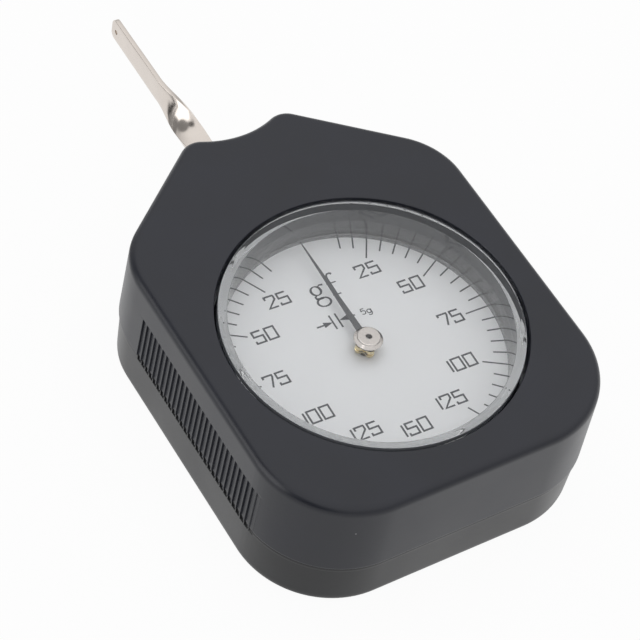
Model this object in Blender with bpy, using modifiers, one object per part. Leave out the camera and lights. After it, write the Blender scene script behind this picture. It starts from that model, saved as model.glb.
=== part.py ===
"""A dial tension gauge, modelled piece by piece at its real size.

Metres, +Z up. The gauge lies on its back. The origin is on the dial's axis, in the rear
face. +Y runs along the body to the lever's tip, and +Z comes out of the dial.
"""

import math

import bmesh
import bpy
from mathutils import Matrix

# Fits that the whole gauge shares
GAP = 0.0003                    # between pieces that rest, screw or run on each other
OVERRUN = 0.001                 # how far a cutter passes the faces that it opens
WELD = 0.000001                 # points closer than this are one point

# Outline of the body, seen from the front
WELL_RADIUS = 0.02572           # the round window in the front face
FACE_MARGIN = 0.00528           # plastic beside the window, on each side
BOTTOM_MARGIN = 0.00663         # plastic below the window
BOTTOM_CORNER_RADIUS = 0.01635
SHOULDER_CORNER_RADIUS = 0.0133
SHOULDER_ANGLE = math.radians(51.06)
NECK_MARGIN = 0.01073           # lever's pivot to the bottom of the dip between the lobes
LOBE_RISE = 0.00172             # the two lobes stand this much above the dip
LOBE_SPREAD = 0.00829           # middle of the neck to the centre of each lobe
LOBE_RADIUS = 0.004

# Shells
WALL = 0.0022
FACE_THICKNESS = 0.0024
FLOOR_THICKNESS = 0.0022
FRONT_DRAFT = 0.0003            # the front housing widens this much a side, face to seam
COVER_STEP = 0.0002             # the rear cover stands in from the housing at the seam
COVER_DRAFT = 0.0002            # and narrows this much a side, seam to back
FACE_EDGE_RADIUS = 0.0015
BACK_EDGE_RADIUS = 0.0018
SEAM_DROP = 0.0002              # the seam lies this much below the lever's middle plane
EDGE_STEPS = 3
CORNER_STEPS = 7
LOBE_STEPS = 6
DIP_STEPS = 8

# Round window, dial and crystal
WINDOW_STEPS = 48
WELL_WALL = 0.0016
PIVOT_MARGIN = 0.00568          # outside of the dial well to the lever's pivot
LEDGE_WIDTH = 0.0038
LEDGE_THICKNESS = 0.0026
DIAL_THICKNESS = 0.0005
DIAL_DEPTH = 0.00835            # front face down to the dial
DIAL_HOLE_RADIUS = 0.0014
RIM_GAP = 0.00057               # black ring seen round the crystal
CRYSTAL_RECESS = 0.0001
CRYSTAL_THICKNESS = 0.0011
CRYSTAL_SKIRT = 0.00155
CRYSTAL_CHAMFER = 0.0004
CRYSTAL_FOOT_HEIGHT = 0.001

# Finger grips on both sides
GRIP_COUNT = 29
GRIP_PITCH = 0.00132
GRIP_RIB = 0.00033
GRIP_DEPTH = 0.0004
GRIP_HEIGHT = 0.0105
GRIP_DROP = 0.001               # the grooves start this much below the seam

# Screw posts and the screws that close the case
POST_RADIUS = 0.0036
POST_BITE = 0.0006              # how far a post runs into the side wall
UPPER_POST_ROOM = 0.0014        # rear plate to the upper posts beside it
COUNTERBORE_DEPTH = 0.0029
CASE_HEAD_RADIUS = 0.0024
CASE_HEAD_HEIGHT = 0.0017
CASE_SHANK_RADIUS = 0.0011
CASE_THREAD = 0.007             # length of thread in the front housing
CASE_HEAD_INSET = 0.0012        # back face to the screw head

# Movement plates, pillars and their screws
HEAD_ROOM = 0.0006              # floor to the pillar screws' heads
REAR_PLATE_THICKNESS = 0.0012
FRONT_PLATE_THICKNESS = 0.0013
FRONT_PLATE_ROOM = 0.0008       # lever screw heads to the front plate
FRONT_PLATE_INSET = 0.0007      # inside the outer wall of the dial well
TONGUE_HALF_WIDTH = 0.012
REAR_PLATE_MARGIN = 0.005       # pivot to the end of the rear plate
STOP_MARGIN = 0.0018            # stop pins to the end of the front plate
TONGUE_CORNER_RADIUS = 0.003
PILLAR_RADIUS = 0.002
PILLAR_MARGIN = 0.0035          # pillar axis to the edge of the rear plate
PILLAR_THREAD = 0.0035
UPPER_PILLAR_SPREAD = 0.0115
UPPER_PILLAR_DROP = 0.003       # below the pivot
LOWER_PILLAR_SPREAD = 0.014
LOWER_PILLAR_REACH = 0.011      # below the dial axis
WAIST_HALF_WIDTH = 0.0075
WAIST_TAPER = 0.006
SMALL_HEAD_RADIUS = 0.0017
SMALL_HEAD_HEIGHT = 0.0008
SMALL_SHANK_RADIUS = 0.0008
LEDGE_SCREW_TURNS = (1 / 12, 5 / 12, 9 / 12)
LEDGE_THREAD = 0.0018

# Arbors and their bushes
PIVOT_RADIUS = 0.0006
LEVER_ARBOR_RADIUS = 0.0015
FRONT_PIVOT_RADIUS = 0.0008
BUSH_WALL = 0.0009
BUSH_FLANGE_WIDTH = 0.0006
BUSH_FLANGE_THICKNESS = 0.0005
PIVOT_END_INSET = 0.0002        # the rear pivots stop this much inside their bushes

# Gears: the sector turns with the lever and drives the pinion
PINION_TEETH = 10
GEAR_RATIO = 12
SPARE_TEETH = 2                 # at each end of the sector
TOOTH_PLAY = 0.00025            # taken off every tooth's thickness
TOOTH_TOP_SHARE = 0.5
TOOTH_FOOT_SHARE = 1.25
DEDENDUM_SHARE = 1.2
SECTOR_THICKNESS = 0.001
SECTOR_RIM = 0.0022
SPOKE_HALF_WIDTH = 0.0022
HUB_RADIUS = 0.0044
PINION_OVERHANG = 0.0006
PINION_WALL = 0.00053           # between the pinion's bore and the foot of its teeth
SPACER_THICKNESS = 0.00045

# Lever: a nickel-plated strip, flat at the body and turned on edge at the tip
LEVER_LENGTH = 0.0538           # pivot to tip
LEVER_THICKNESS = 0.0009
LEVER_HALF_WIDTH = 0.00215
BLADE_HALF_WIDTH = 0.0023
TIP_HALF_WIDTH = 0.00213
TWIST_START = 0.020             # from the pivot
TWIST_LENGTH = 0.017
TIP_ROUND = 0.0011
EYE_START = math.radians(15)    # the eye's end is flat within this angle
EYE_ROWS = 10
TWIST_ROWS = 12
TIP_ROWS = 4
TIP_HOLE_RADIUS = 0.00045
TIP_HOLE_INSET = 0.0016
TIP_HOLE_DROP = 0.0001
LEVER_SCREW_REACH = 0.0031
LEVER_HEAD_RADIUS = 0.0012
LEVER_HEAD_HEIGHT = 0.0006
LEVER_SHANK_RADIUS = 0.0006
STOP_REACH = 0.005              # from the pivot
STOP_RADIUS = 0.0007

# Springs
MEASURING_SPRING_HEIGHT = 0.0015
MEASURING_SPRING_THICKNESS = 0.00085
MEASURING_SPRING_TURNS = 2
MEASURING_SPRING_PITCH = 0.0021
MEASURING_COLLET_RADIUS = 0.0028
HAIRSPRING_HEIGHT = 0.0008
HAIRSPRING_THICKNESS = 0.00025
HAIRSPRING_TURNS = 5
HAIRSPRING_PITCH = 0.00075
HAIRSPRING_COLLET_RADIUS = 0.002
HAIRSPRING_COLLET_HEIGHT = 0.0014
STUD_RADIUS = 0.0007
SPIRAL_CELLS = 18               # per turn

# Pointer and its hub
POINTER_MARGIN = 0.0011         # tip to the crystal's skirt
POINTER_THICKNESS = 0.00025
POINTER_ROOT_HALF_WIDTH = 0.0008
POINTER_TIP_HALF_WIDTH = 0.00012
POINTER_EYE_RADIUS = 0.0019
POINTER_REST_TURN = math.radians(-0.9)
HUB_COLLET_RADIUS = 0.00175
HUB_COLLET_HEIGHT = 0.0014
HUB_COLLET_LOBES = 4
HUB_COLLET_NOTCH = 0.00035
LOBE_ARC_SHARE = 1 / 3          # of a lobe's step, on each side of its middle
CAP_FLANGE_RADIUS = 0.00245
CAP_TOP_RADIUS = 0.00195
CAP_HEIGHT = 0.001
CAP_FLANGE_HEIGHT = 0.00035
CAP_EYE_RADIUS = 0.0005
CAP_ROOF = 0.0004

# Facets on small round pieces
ROUND_STEPS = 18
SCREW_STEPS = 12
CAP_STEPS = 22
PLATE_STEPS = 28
LOBE_ARC_STEPS = 4

# Proportions of every screw, as shares of its head or shank
RECESS_ARM_SHARE = 0.6          # of the head's radius
RECESS_WIDTH_SHARE = 0.13       # of the head's radius
HEAD_EDGE_SHARE = 1 / 3         # of the head's height
RECESS_DEPTH_SHARE = 0.5        # of the head's height
POINT_SHARE = 0.5               # of the shank's radius

# Angles that sort edges and faces
SMOOTH_ANGLE = math.radians(35)
RIM_ANGLE = math.radians(30)
FLAT_ANGLE = math.radians(0.1)

# Heights, worked out from the rear face upwards
floor_top = FLOOR_THICKNESS
rear_plate_low = floor_top + HEAD_ROOM + SMALL_HEAD_HEIGHT + GAP
rear_plate_high = rear_plate_low + REAR_PLATE_THICKNESS
rear_flange_low = rear_plate_high + GAP
rear_flange_high = rear_flange_low + BUSH_FLANGE_THICKNESS
arbor_low = rear_flange_high + GAP
spring_low = arbor_low
spring_high = spring_low + MEASURING_SPRING_HEIGHT
sector_low = spring_high + GAP
sector_high = sector_low + SECTOR_THICKNESS
spacer_low = sector_high + GAP
spacer_high = spacer_low + SPACER_THICKNESS
lever_low = spacer_high + GAP
lever_high = lever_low + LEVER_THICKNESS
lever_mid = (lever_low + lever_high) / 2
seam_height = lever_mid - SEAM_DROP
lever_head_high = lever_high + GAP + LEVER_HEAD_HEIGHT
front_plate_low = lever_head_high + FRONT_PLATE_ROOM
front_plate_high = front_plate_low + FRONT_PLATE_THICKNESS
arbor_high = front_plate_low - GAP
ledge_low = front_plate_high + GAP
ledge_high = ledge_low + LEDGE_THICKNESS
dial_low = ledge_high + GAP
dial_high = dial_low + DIAL_THICKNESS
body_thickness = dial_high + DIAL_DEPTH
pinion_low = sector_low - PINION_OVERHANG
pinion_high = sector_high + PINION_OVERHANG
collet_low = pinion_high + GAP
collet_high = collet_low + HAIRSPRING_COLLET_HEIGHT
hairspring_mid = (collet_low + collet_high) / 2
hub_collet_low = dial_high + GAP
hub_collet_high = hub_collet_low + HUB_COLLET_HEIGHT
pointer_low = hub_collet_high + GAP
pointer_high = pointer_low + POINTER_THICKNESS
cap_low = pointer_high + GAP
cap_high = cap_low + CAP_HEIGHT

# Plan sizes
body_half_width = WELL_RADIUS + FACE_MARGIN
bottom_reach = WELL_RADIUS + BOTTOM_MARGIN
pivot_reach = WELL_RADIUS + WELL_WALL + PIVOT_MARGIN
neck_reach = pivot_reach + NECK_MARGIN
lobe_reach = neck_reach + LOBE_RISE
post_depth = WALL + POST_RADIUS - POST_BITE
crystal_radius = WELL_RADIUS - RIM_GAP
crystal_bore = crystal_radius - CRYSTAL_SKIRT
pointer_length = crystal_bore - POINTER_MARGIN

# Gear sizes
module = 2 * pivot_reach / (PINION_TEETH * (1 + GEAR_RATIO))
pinion_radius = module * PINION_TEETH / 2
sector_teeth = PINION_TEETH * GEAR_RATIO
sector_radius = module * sector_teeth / 2
tooth_depth = module * DEDENDUM_SHARE
pointer_arbor_radius = pinion_radius - tooth_depth - PINION_WALL - GAP
lever_limit = math.pi / GEAR_RATIO


# Collections, materials and small helpers

def clear_scene():
    for obj in list(bpy.data.objects):
        bpy.data.objects.remove(obj, do_unlink=True)


def collection(name):
    group = bpy.data.collections.new(name)
    bpy.context.scene.collection.children.link(group)
    return group


def material(name, colour, roughness, metallic=0.0, transmission=0.0):
    made = bpy.data.materials.new(name)
    made.use_nodes = True
    shader = made.node_tree.nodes["Principled BSDF"]
    shader.inputs["Base Color"].default_value = (*colour, 1.0)
    shader.inputs["Roughness"].default_value = roughness
    shader.inputs["Metallic"].default_value = metallic
    shader.inputs["Transmission Weight"].default_value = transmission
    return made


def add_object(name, mesh, group):
    obj = bpy.data.objects.new(name, mesh)
    group.objects.link(obj)
    return obj


def finish(obj, look, parent=None):
    """Smooth shading with crisp edges, the piece's material and the axis that carries it."""
    obj.data.materials.clear()
    obj.data.materials.append(look)
    obj.data.shade_smooth()
    obj.data.set_sharp_from_angle(angle=SMOOTH_ANGLE)
    obj.parent = parent
    return obj


def axis(name, x, y):
    """An empty on a joint's axis. The pieces that turn with it are its children."""
    empty = bpy.data.objects.new(name, None)
    empty.location = (x, y, 0)
    parts.objects.link(empty)
    return empty


def as_tool(obj):
    """Makes a mesh a cutter or an adder, which the model itself leaves out."""
    obj.hide_render = True
    obj.display_type = "WIRE"
    return obj


def combine(target, tool, operation):
    step = target.modifiers.new(tool.name, "BOOLEAN")
    step.operation = operation
    step.solver = "EXACT"
    step.object = as_tool(tool)


def cut(target, tool):
    combine(target, tool, "DIFFERENCE")


def join(target, tool):
    combine(target, tool, "UNION")


def settled_mesh(obj):
    """The mesh with its modifiers applied, for pieces that share it."""
    bpy.context.view_layer.update()
    graph = bpy.context.evaluated_depsgraph_get()
    return bpy.data.meshes.new_from_object(obj.evaluated_get(graph))


# Shapes

def cylinders(name, radius, low, high, places, group, steps=ROUND_STEPS):
    """One upright cylinder at each (x, y) place."""
    mesh = bpy.data.meshes.new(name)
    form = bmesh.new()
    for x, y in places:
        spot = Matrix.Translation((x, y, (low + high) / 2))
        bmesh.ops.create_cone(form, cap_ends=True, segments=steps, radius1=radius,
                              radius2=radius, depth=high - low, matrix=spot)
    form.to_mesh(mesh)
    form.free()
    return add_object(name, mesh, group)


def boxes(name, spans, group):
    """One box for each ((x, x), (y, y), (z, z)) span."""
    mesh = bpy.data.meshes.new(name)
    form = bmesh.new()
    for span in spans:
        middle = [(low + high) / 2 for low, high in span]
        size = [high - low for low, high in span]
        bmesh.ops.create_cube(form, size=1, matrix=Matrix.LocRotScale(middle, None, size))
    form.to_mesh(mesh)
    form.free()
    return add_object(name, mesh, group)


def turned(name, profile, group, steps=ROUND_STEPS):
    """Turns (radius, height) points, which run down the outer side, round the Z axis."""
    count = len(profile)
    edges = [(i, i + 1) for i in range(count - 1)]
    if profile[0][0] > 0:
        edges.append((count - 1, 0))
    mesh = bpy.data.meshes.new(name)
    mesh.from_pydata([(radius, 0, height) for radius, height in profile], edges, [])
    obj = add_object(name, mesh, group)
    turn = obj.modifiers.new("turn", "SCREW")
    turn.steps = steps
    turn.render_steps = steps
    turn.use_merge_vertices = True
    turn.merge_threshold = WELD
    return obj


def plate(name, loops, low, high, group):
    """A flat piece between two heights: its outline first, then the outlines of its holes."""
    curve = bpy.data.curves.new(name, "CURVE")
    curve.dimensions = "2D"
    curve.fill_mode = "BOTH"
    curve.extrude = (high - low) / 2
    for loop in loops:
        spline = curve.splines.new("POLY")
        spline.points.add(len(loop) - 1)
        for point, (x, y) in zip(spline.points, loop):
            point.co = (x, y, 0, 1)
        spline.use_cyclic_u = True
    guide = add_object(name + "_outline", curve, bpy.context.scene.collection)
    mesh = settled_mesh(guide)
    bpy.data.objects.remove(guide, do_unlink=True)
    form = bmesh.new()
    form.from_mesh(mesh)
    bmesh.ops.remove_doubles(form, verts=form.verts, dist=WELD)
    bmesh.ops.translate(form, verts=form.verts, vec=(0, 0, (low + high) / 2))
    bmesh.ops.dissolve_limit(form, angle_limit=FLAT_ANGLE, verts=form.verts,
                             edges=form.edges)
    bmesh.ops.recalc_face_normals(form, faces=form.faces)
    form.to_mesh(mesh)
    form.free()
    return add_object(name, mesh, group)


def sheet(name, along, across, place, thickness, group):
    """A grid whose points place(u, v) puts, u along and v across from 0 to 1, made solid."""
    mesh = bpy.data.meshes.new(name)
    form = bmesh.new()
    bmesh.ops.create_grid(form, x_segments=along, y_segments=across, size=1)
    for point in form.verts:
        point.co = place((point.co.x + 1) / 2, (point.co.y + 1) / 2)
    form.to_mesh(mesh)
    form.free()
    obj = add_object(name, mesh, group)
    solid = obj.modifiers.new("thickness", "SOLIDIFY")
    solid.thickness = thickness
    solid.offset = 0
    solid.use_even_offset = True
    return obj


def arc(x, y, radius, start, end, steps):
    """Points on an arc round (x, y), both ends included."""
    turns = [start + (end - start) * i / steps for i in range(steps + 1)]
    return [(x + radius * math.cos(turn), y + radius * math.sin(turn)) for turn in turns]


def circle(x, y, radius, steps=ROUND_STEPS):
    return arc(x, y, radius, 0, 2 * math.pi, steps)[:-1]


def mirrored(right_half):
    """Closes an outline whose right half runs from the bottom to the top."""
    return right_half + [(-x, y) for x, y in reversed(right_half) if abs(x) > WELD]


def polar(radius, turn):
    return (radius * math.cos(turn), radius * math.sin(turn))


def round_rim(obj, height, radius):
    """Rounds the edges that lie at one height."""
    form = bmesh.new()
    form.from_mesh(obj.data)
    rim = [edge for edge in form.edges
           if all(abs(point.co.z - height) < WELD for point in edge.verts)
           and edge.calc_face_angle(0) > RIM_ANGLE]
    bmesh.ops.bevel(form, geom=rim, offset=radius, segments=EDGE_STEPS, profile=0.5,
                    affect="EDGES")
    form.to_mesh(obj.data)
    form.free()


def draft(obj, height, growth):
    """Moves the wall at one height outwards by growth, measured at the body's sides."""
    scale = 1 + growth / body_half_width
    for point in obj.data.vertices:
        if abs(point.co.z - height) < WELD:
            point.co.x *= scale
            point.co.y *= scale


# Outlines of the body and the movement

def body_outline(inset):
    """The body's outline, drawn in by inset."""
    half = body_half_width - inset
    low = -(bottom_reach - inset)
    corner = BOTTOM_CORNER_RADIUS - inset
    shoulder = SHOULDER_CORNER_RADIUS - inset
    lobe = LOBE_RADIUS - inset
    lobe_height = lobe_reach - LOBE_RADIUS
    normal = (math.cos(SHOULDER_ANGLE), math.sin(SHOULDER_ANGLE))
    reach = LOBE_SPREAD * normal[0] + lobe_height * normal[1] + lobe
    shoulder_x = half - shoulder
    shoulder_y = (reach - shoulder - shoulder_x * normal[0]) / normal[1]
    drop = lobe_height - neck_reach
    dip_radius = (LOBE_SPREAD ** 2 + drop ** 2 - LOBE_RADIUS ** 2) / (2 * (LOBE_RADIUS + drop))
    dip_height = neck_reach + dip_radius
    dip_turn = math.atan2(LOBE_SPREAD, dip_height - lobe_height)
    right = arc(half - corner, low + corner, corner, -math.pi / 2, 0, CORNER_STEPS)
    right += arc(shoulder_x, shoulder_y, shoulder, 0, SHOULDER_ANGLE, CORNER_STEPS)
    right += arc(LOBE_SPREAD, lobe_height, lobe, SHOULDER_ANGLE, math.pi / 2 + dip_turn,
                 LOBE_STEPS)
    right += arc(0, dip_height, dip_radius + inset, dip_turn - math.pi / 2, -math.pi / 2,
                 DIP_STEPS)[1:]
    return mirrored(right)


def post_places():
    """The four screw posts: two by the shoulders and two in the bottom corners."""
    normal = (math.cos(SHOULDER_ANGLE), math.sin(SHOULDER_ANGLE))
    lobe_height = lobe_reach - LOBE_RADIUS
    reach = LOBE_SPREAD * normal[0] + lobe_height * normal[1] + LOBE_RADIUS - post_depth
    upper_x = UPPER_PILLAR_SPREAD + PILLAR_MARGIN + UPPER_POST_ROOM + POST_RADIUS
    upper_y = (reach - upper_x * normal[0]) / normal[1]
    diagonal = (BOTTOM_CORNER_RADIUS - post_depth) * math.sqrt(0.5)
    lower_x = body_half_width - BOTTOM_CORNER_RADIUS + diagonal
    lower_y = -(bottom_reach - BOTTOM_CORNER_RADIUS + diagonal)
    return [(side * x, y) for x, y in ((upper_x, upper_y), (lower_x, lower_y))
            for side in (-1, 1)]


def pillar_places():
    upper = (UPPER_PILLAR_SPREAD, pivot_reach - UPPER_PILLAR_DROP)
    lower = (LOWER_PILLAR_SPREAD, -LOWER_PILLAR_REACH)
    return [(side * x, y) for x, y in (upper, lower) for side in (-1, 1)]


def ledge_screw_places():
    radius = WELL_RADIUS - LEDGE_WIDTH / 2
    return [polar(radius, 2 * math.pi * turn) for turn in LEDGE_SCREW_TURNS]


def stop_places():
    """Each stop pin stands a gap away from the lever's edge at the end of its swing."""
    clear = LEVER_HALF_WIDTH + GAP + STOP_RADIUS
    spread = (clear + STOP_REACH * math.sin(lever_limit)) / math.cos(lever_limit)
    return [(side * spread, pivot_reach + STOP_REACH) for side in (-1, 1)]


def front_plate_outline():
    """A disc behind the dial with a tongue that reaches past the lever's pivot."""
    radius = WELL_RADIUS + WELL_WALL - FRONT_PLATE_INSET
    end = pivot_reach + STOP_REACH + STOP_MARGIN
    join_turn = math.acos(TONGUE_HALF_WIDTH / radius)
    right = arc(0, 0, radius, -math.pi / 2, join_turn, PLATE_STEPS)
    right += arc(TONGUE_HALF_WIDTH - TONGUE_CORNER_RADIUS, end - TONGUE_CORNER_RADIUS,
                 TONGUE_CORNER_RADIUS, 0, math.pi / 2, EDGE_STEPS)
    return mirrored(right)


def rear_plate_outline():
    """Four feet for the pillars and a waist between them that carries the bushes."""
    top = pivot_reach + REAR_PLATE_MARGIN
    upper_x = UPPER_PILLAR_SPREAD + PILLAR_MARGIN
    upper_y = pivot_reach - UPPER_PILLAR_DROP - PILLAR_MARGIN
    lower_x = LOWER_PILLAR_SPREAD + PILLAR_MARGIN
    lower_y = PILLAR_MARGIN - LOWER_PILLAR_REACH
    bottom = -LOWER_PILLAR_REACH - PILLAR_MARGIN
    curve = TONGUE_CORNER_RADIUS
    right = arc(lower_x - curve, bottom + curve, curve, -math.pi / 2, 0, EDGE_STEPS)
    right += [(lower_x, lower_y), (WAIST_HALF_WIDTH, lower_y + WAIST_TAPER),
              (WAIST_HALF_WIDTH, upper_y - WAIST_TAPER), (upper_x, upper_y)]
    right += arc(upper_x - curve, top - curve, curve, 0, math.pi / 2, EDGE_STEPS)
    return mirrored(right)


def tooth_points(pitch_radius, tooth_count, first, last, phase):
    """Outline points of gear teeth, from one tooth number to another."""
    foot = pitch_radius - tooth_depth
    top = pitch_radius + module
    thickness = math.pi * module / 2 - TOOTH_PLAY
    points = []
    for tooth in range(first, last + 1):
        middle = phase + 2 * math.pi * tooth / tooth_count
        half_foot = thickness * TOOTH_FOOT_SHARE / 2 / foot
        half_pitch = thickness / 2 / pitch_radius
        half_top = thickness * TOOTH_TOP_SHARE / 2 / top
        points += [polar(foot, middle - half_foot), polar(pitch_radius, middle - half_pitch),
                   polar(top, middle - half_top), polar(top, middle + half_top),
                   polar(pitch_radius, middle + half_pitch), polar(foot, middle + half_foot)]
    return points


# Case

def grip_grooves(name):
    """A cutter for the row of grooves down both sides."""
    low = seam_height - GRIP_DROP
    inner = body_half_width - GRIP_DEPTH
    outer = body_half_width + FRONT_DRAFT + OVERRUN
    groove = (GRIP_PITCH - GRIP_RIB) / 2
    spans = []
    for i in range(GRIP_COUNT):
        y = (i - (GRIP_COUNT - 1) / 2) * GRIP_PITCH
        for x in ((inner, outer), (-outer, -inner)):
            spans.append((x, (y - groove, y + groove), (low, low + GRIP_HEIGHT)))
    return boxes(name, spans, tools)


def lever_slot(name):
    """A cutter for the slot in the neck, as wide as the lever's swing needs."""
    outer = lobe_reach + FRONT_DRAFT * lobe_reach / body_half_width
    swing = (outer - pivot_reach) * math.tan(lever_limit)
    half = swing + LEVER_HALF_WIDTH / math.cos(lever_limit) + GAP
    inner = neck_reach - WALL - OVERRUN
    outer += OVERRUN
    return boxes(name, [((-half, half), (inner, outer), (lever_low - GAP, lever_high + GAP))],
                 tools)


def front_housing():
    """The black front shell: face, side walls, dial well with its ledge, and posts."""
    low = seam_height + GAP / 2
    face_inside = body_thickness - FACE_THICKNESS
    bonded = body_thickness - FACE_THICKNESS / 2
    post_low = low + GAP
    shell = plate("front_housing", [body_outline(0)], low, body_thickness, parts)
    draft(shell, low, FRONT_DRAFT)
    round_rim(shell, body_thickness, FACE_EDGE_RADIUS)
    cut(shell, plate("housing_hollow", [body_outline(WALL)], low - OVERRUN, face_inside, tools))
    join(shell, cylinders("well_wall", WELL_RADIUS + WELL_WALL, ledge_low, bonded, [(0, 0)],
                          tools, WINDOW_STEPS))
    join(shell, cylinders("housing_posts", POST_RADIUS, post_low, bonded, post_places(), tools))
    cut(shell, cylinders("window", WELL_RADIUS, ledge_high, body_thickness + OVERRUN, [(0, 0)],
                         tools, WINDOW_STEPS))
    cut(shell, cylinders("ledge_opening", WELL_RADIUS - LEDGE_WIDTH, ledge_low - OVERRUN,
                         ledge_high + OVERRUN, [(0, 0)], tools, WINDOW_STEPS))
    cut(shell, cylinders("post_bores", CASE_SHANK_RADIUS + GAP, post_low - OVERRUN,
                         post_low + CASE_THREAD + GAP, post_places(), tools, SCREW_STEPS))
    cut(shell, cylinders("ledge_bores", SMALL_SHANK_RADIUS + GAP, ledge_low - OVERRUN,
                         ledge_low + LEDGE_THREAD, ledge_screw_places(), tools, SCREW_STEPS))
    cut(shell, lever_slot("housing_slot"))
    cut(shell, grip_grooves("housing_grooves"))
    return finish(shell, material("housing black plastic", (0.055, 0.058, 0.064), 0.45))


def rear_cover():
    """The black rear shell: back, side walls and the tubes that the screws pass through."""
    high = seam_height - GAP / 2
    cover = plate("rear_cover", [body_outline(COVER_STEP - FRONT_DRAFT)], 0, high, parts)
    draft(cover, 0, -COVER_DRAFT)
    round_rim(cover, 0, BACK_EDGE_RADIUS)
    cut(cover, plate("cover_hollow", [body_outline(WALL)], floor_top, high + OVERRUN, tools))
    join(cover, cylinders("cover_posts", POST_RADIUS, floor_top / 2, high, post_places(), tools))
    cut(cover, cylinders("cover_bores", CASE_SHANK_RADIUS + GAP, floor_top, high + OVERRUN,
                         post_places(), tools, SCREW_STEPS))
    cut(cover, cylinders("counterbores", CASE_HEAD_RADIUS + GAP, -OVERRUN, COUNTERBORE_DEPTH,
                         post_places(), tools))
    cut(cover, lever_slot("cover_slot"))
    cut(cover, grip_grooves("cover_grooves"))
    return finish(cover, material("cover black plastic", (0.05, 0.052, 0.056), 0.5))


def crystal():
    """The clear cup over the dial: a flat top, a skirt and a foot that centres it."""
    top = body_thickness - CRYSTAL_RECESS
    foot = WELL_RADIUS - GAP
    low = dial_high + GAP
    profile = [(0, top), (crystal_radius - CRYSTAL_CHAMFER, top),
               (crystal_radius, top - CRYSTAL_CHAMFER),
               (crystal_radius, low + CRYSTAL_FOOT_HEIGHT), (foot, low + CRYSTAL_FOOT_HEIGHT),
               (foot, low), (crystal_bore, low), (crystal_bore, top - CRYSTAL_THICKNESS),
               (0, top - CRYSTAL_THICKNESS)]
    cup = turned("crystal", profile, parts, WINDOW_STEPS)
    return finish(cup, material("clear acrylic", (0.95, 0.97, 0.97), 0.02, 0.0, 1.0))


def dial_plate():
    radius = WELL_RADIUS - GAP
    loops = [circle(0, 0, radius, WINDOW_STEPS), circle(0, 0, DIAL_HOLE_RADIUS)]
    dial = plate("dial_plate", loops, dial_low, dial_high, parts)
    return finish(dial, material("dial silver white", (0.63, 0.64, 0.65), 0.5, 0.3))


# Screws and pins

def screw_mesh(name, head_radius, head_height, shank_radius, length):
    """A pan-head screw that points up: its head hangs below zero, with a cross recess."""
    tip = shank_radius * POINT_SHARE
    edge = head_height * HEAD_EDGE_SHARE
    profile = [(0, length), (shank_radius - tip, length), (shank_radius, length - tip),
               (shank_radius, 0), (head_radius, 0), (head_radius, edge - head_height),
               (head_radius - edge, -head_height), (0, -head_height)]
    blank = turned(name + "_blank", profile, tools, SCREW_STEPS)
    arm = head_radius * RECESS_ARM_SHARE
    half = head_radius * RECESS_WIDTH_SHARE
    depth = (-head_height - OVERRUN, head_height * (RECESS_DEPTH_SHARE - 1))
    cut(blank, boxes(name + "_recess", [((-arm, arm), (-half, half), depth)], tools))
    cut(blank, boxes(name + "_cross", [((-half, half), (-arm, arm), depth)], tools))
    mesh = settled_mesh(blank)
    bpy.data.objects.remove(blank, do_unlink=True)
    return mesh


def place_screws(name, mesh, places, height, look):
    for number, (x, y) in enumerate(places, 1):
        screw = add_object(f"{name}_{number}", mesh, parts)
        screw.location = (x, y, height)
        finish(screw, look)


def case_screws():
    head_top = CASE_HEAD_INSET + CASE_HEAD_HEIGHT
    length = seam_height + GAP / 2 + CASE_THREAD - head_top
    mesh = screw_mesh("case_screw", CASE_HEAD_RADIUS, CASE_HEAD_HEIGHT, CASE_SHANK_RADIUS,
                      length)
    look = material("case screw steel", (0.35, 0.35, 0.36), 0.35, 1.0)
    place_screws("case_screw", mesh, post_places(), head_top - GAP, look)


def movement_screws():
    """Pillar screws hold the rear plate. Ledge screws hold the front plate to the housing."""
    look = material("movement screw steel", (0.5, 0.5, 0.52), 0.3, 1.0)
    pillar_length = rear_plate_high + GAP + PILLAR_THREAD - rear_plate_low
    pillar_mesh = screw_mesh("pillar_screw", SMALL_HEAD_RADIUS, SMALL_HEAD_HEIGHT,
                             SMALL_SHANK_RADIUS, pillar_length)
    place_screws("pillar_screw", pillar_mesh, pillar_places(), rear_plate_low - GAP, look)
    ledge_length = ledge_low + LEDGE_THREAD - front_plate_low
    ledge_mesh = screw_mesh("ledge_screw", SMALL_HEAD_RADIUS, SMALL_HEAD_HEIGHT,
                            SMALL_SHANK_RADIUS, ledge_length)
    place_screws("ledge_screw", ledge_mesh, ledge_screw_places(), front_plate_low - GAP, look)


def stop_pins():
    look = material("stop pin steel", (0.5, 0.5, 0.52), 0.3, 1.0)
    for number, place in enumerate(stop_places(), 1):
        pin = cylinders(f"stop_pin_{number}", STOP_RADIUS, lever_low, front_plate_high, [place],
                        parts, SCREW_STEPS)
        finish(pin, look)


# Movement frame

def front_plate():
    bush_radius = FRONT_PIVOT_RADIUS + GAP + BUSH_WALL + GAP
    loops = [front_plate_outline(), circle(0, 0, bush_radius),
             circle(0, pivot_reach, bush_radius)]
    loops += [circle(x, y, SMALL_SHANK_RADIUS + GAP, SCREW_STEPS)
              for x, y in ledge_screw_places()]
    loops += [circle(x, y, STOP_RADIUS + GAP, SCREW_STEPS) for x, y in stop_places()]
    x, y = hairspring_stud_place()
    loops.append(circle(x, y, STUD_RADIUS + GAP, SCREW_STEPS))
    frame = plate("front_plate", loops, front_plate_low, front_plate_high, parts)
    return finish(frame, material("front plate brass", (0.62, 0.45, 0.2), 0.35, 1.0))


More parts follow.
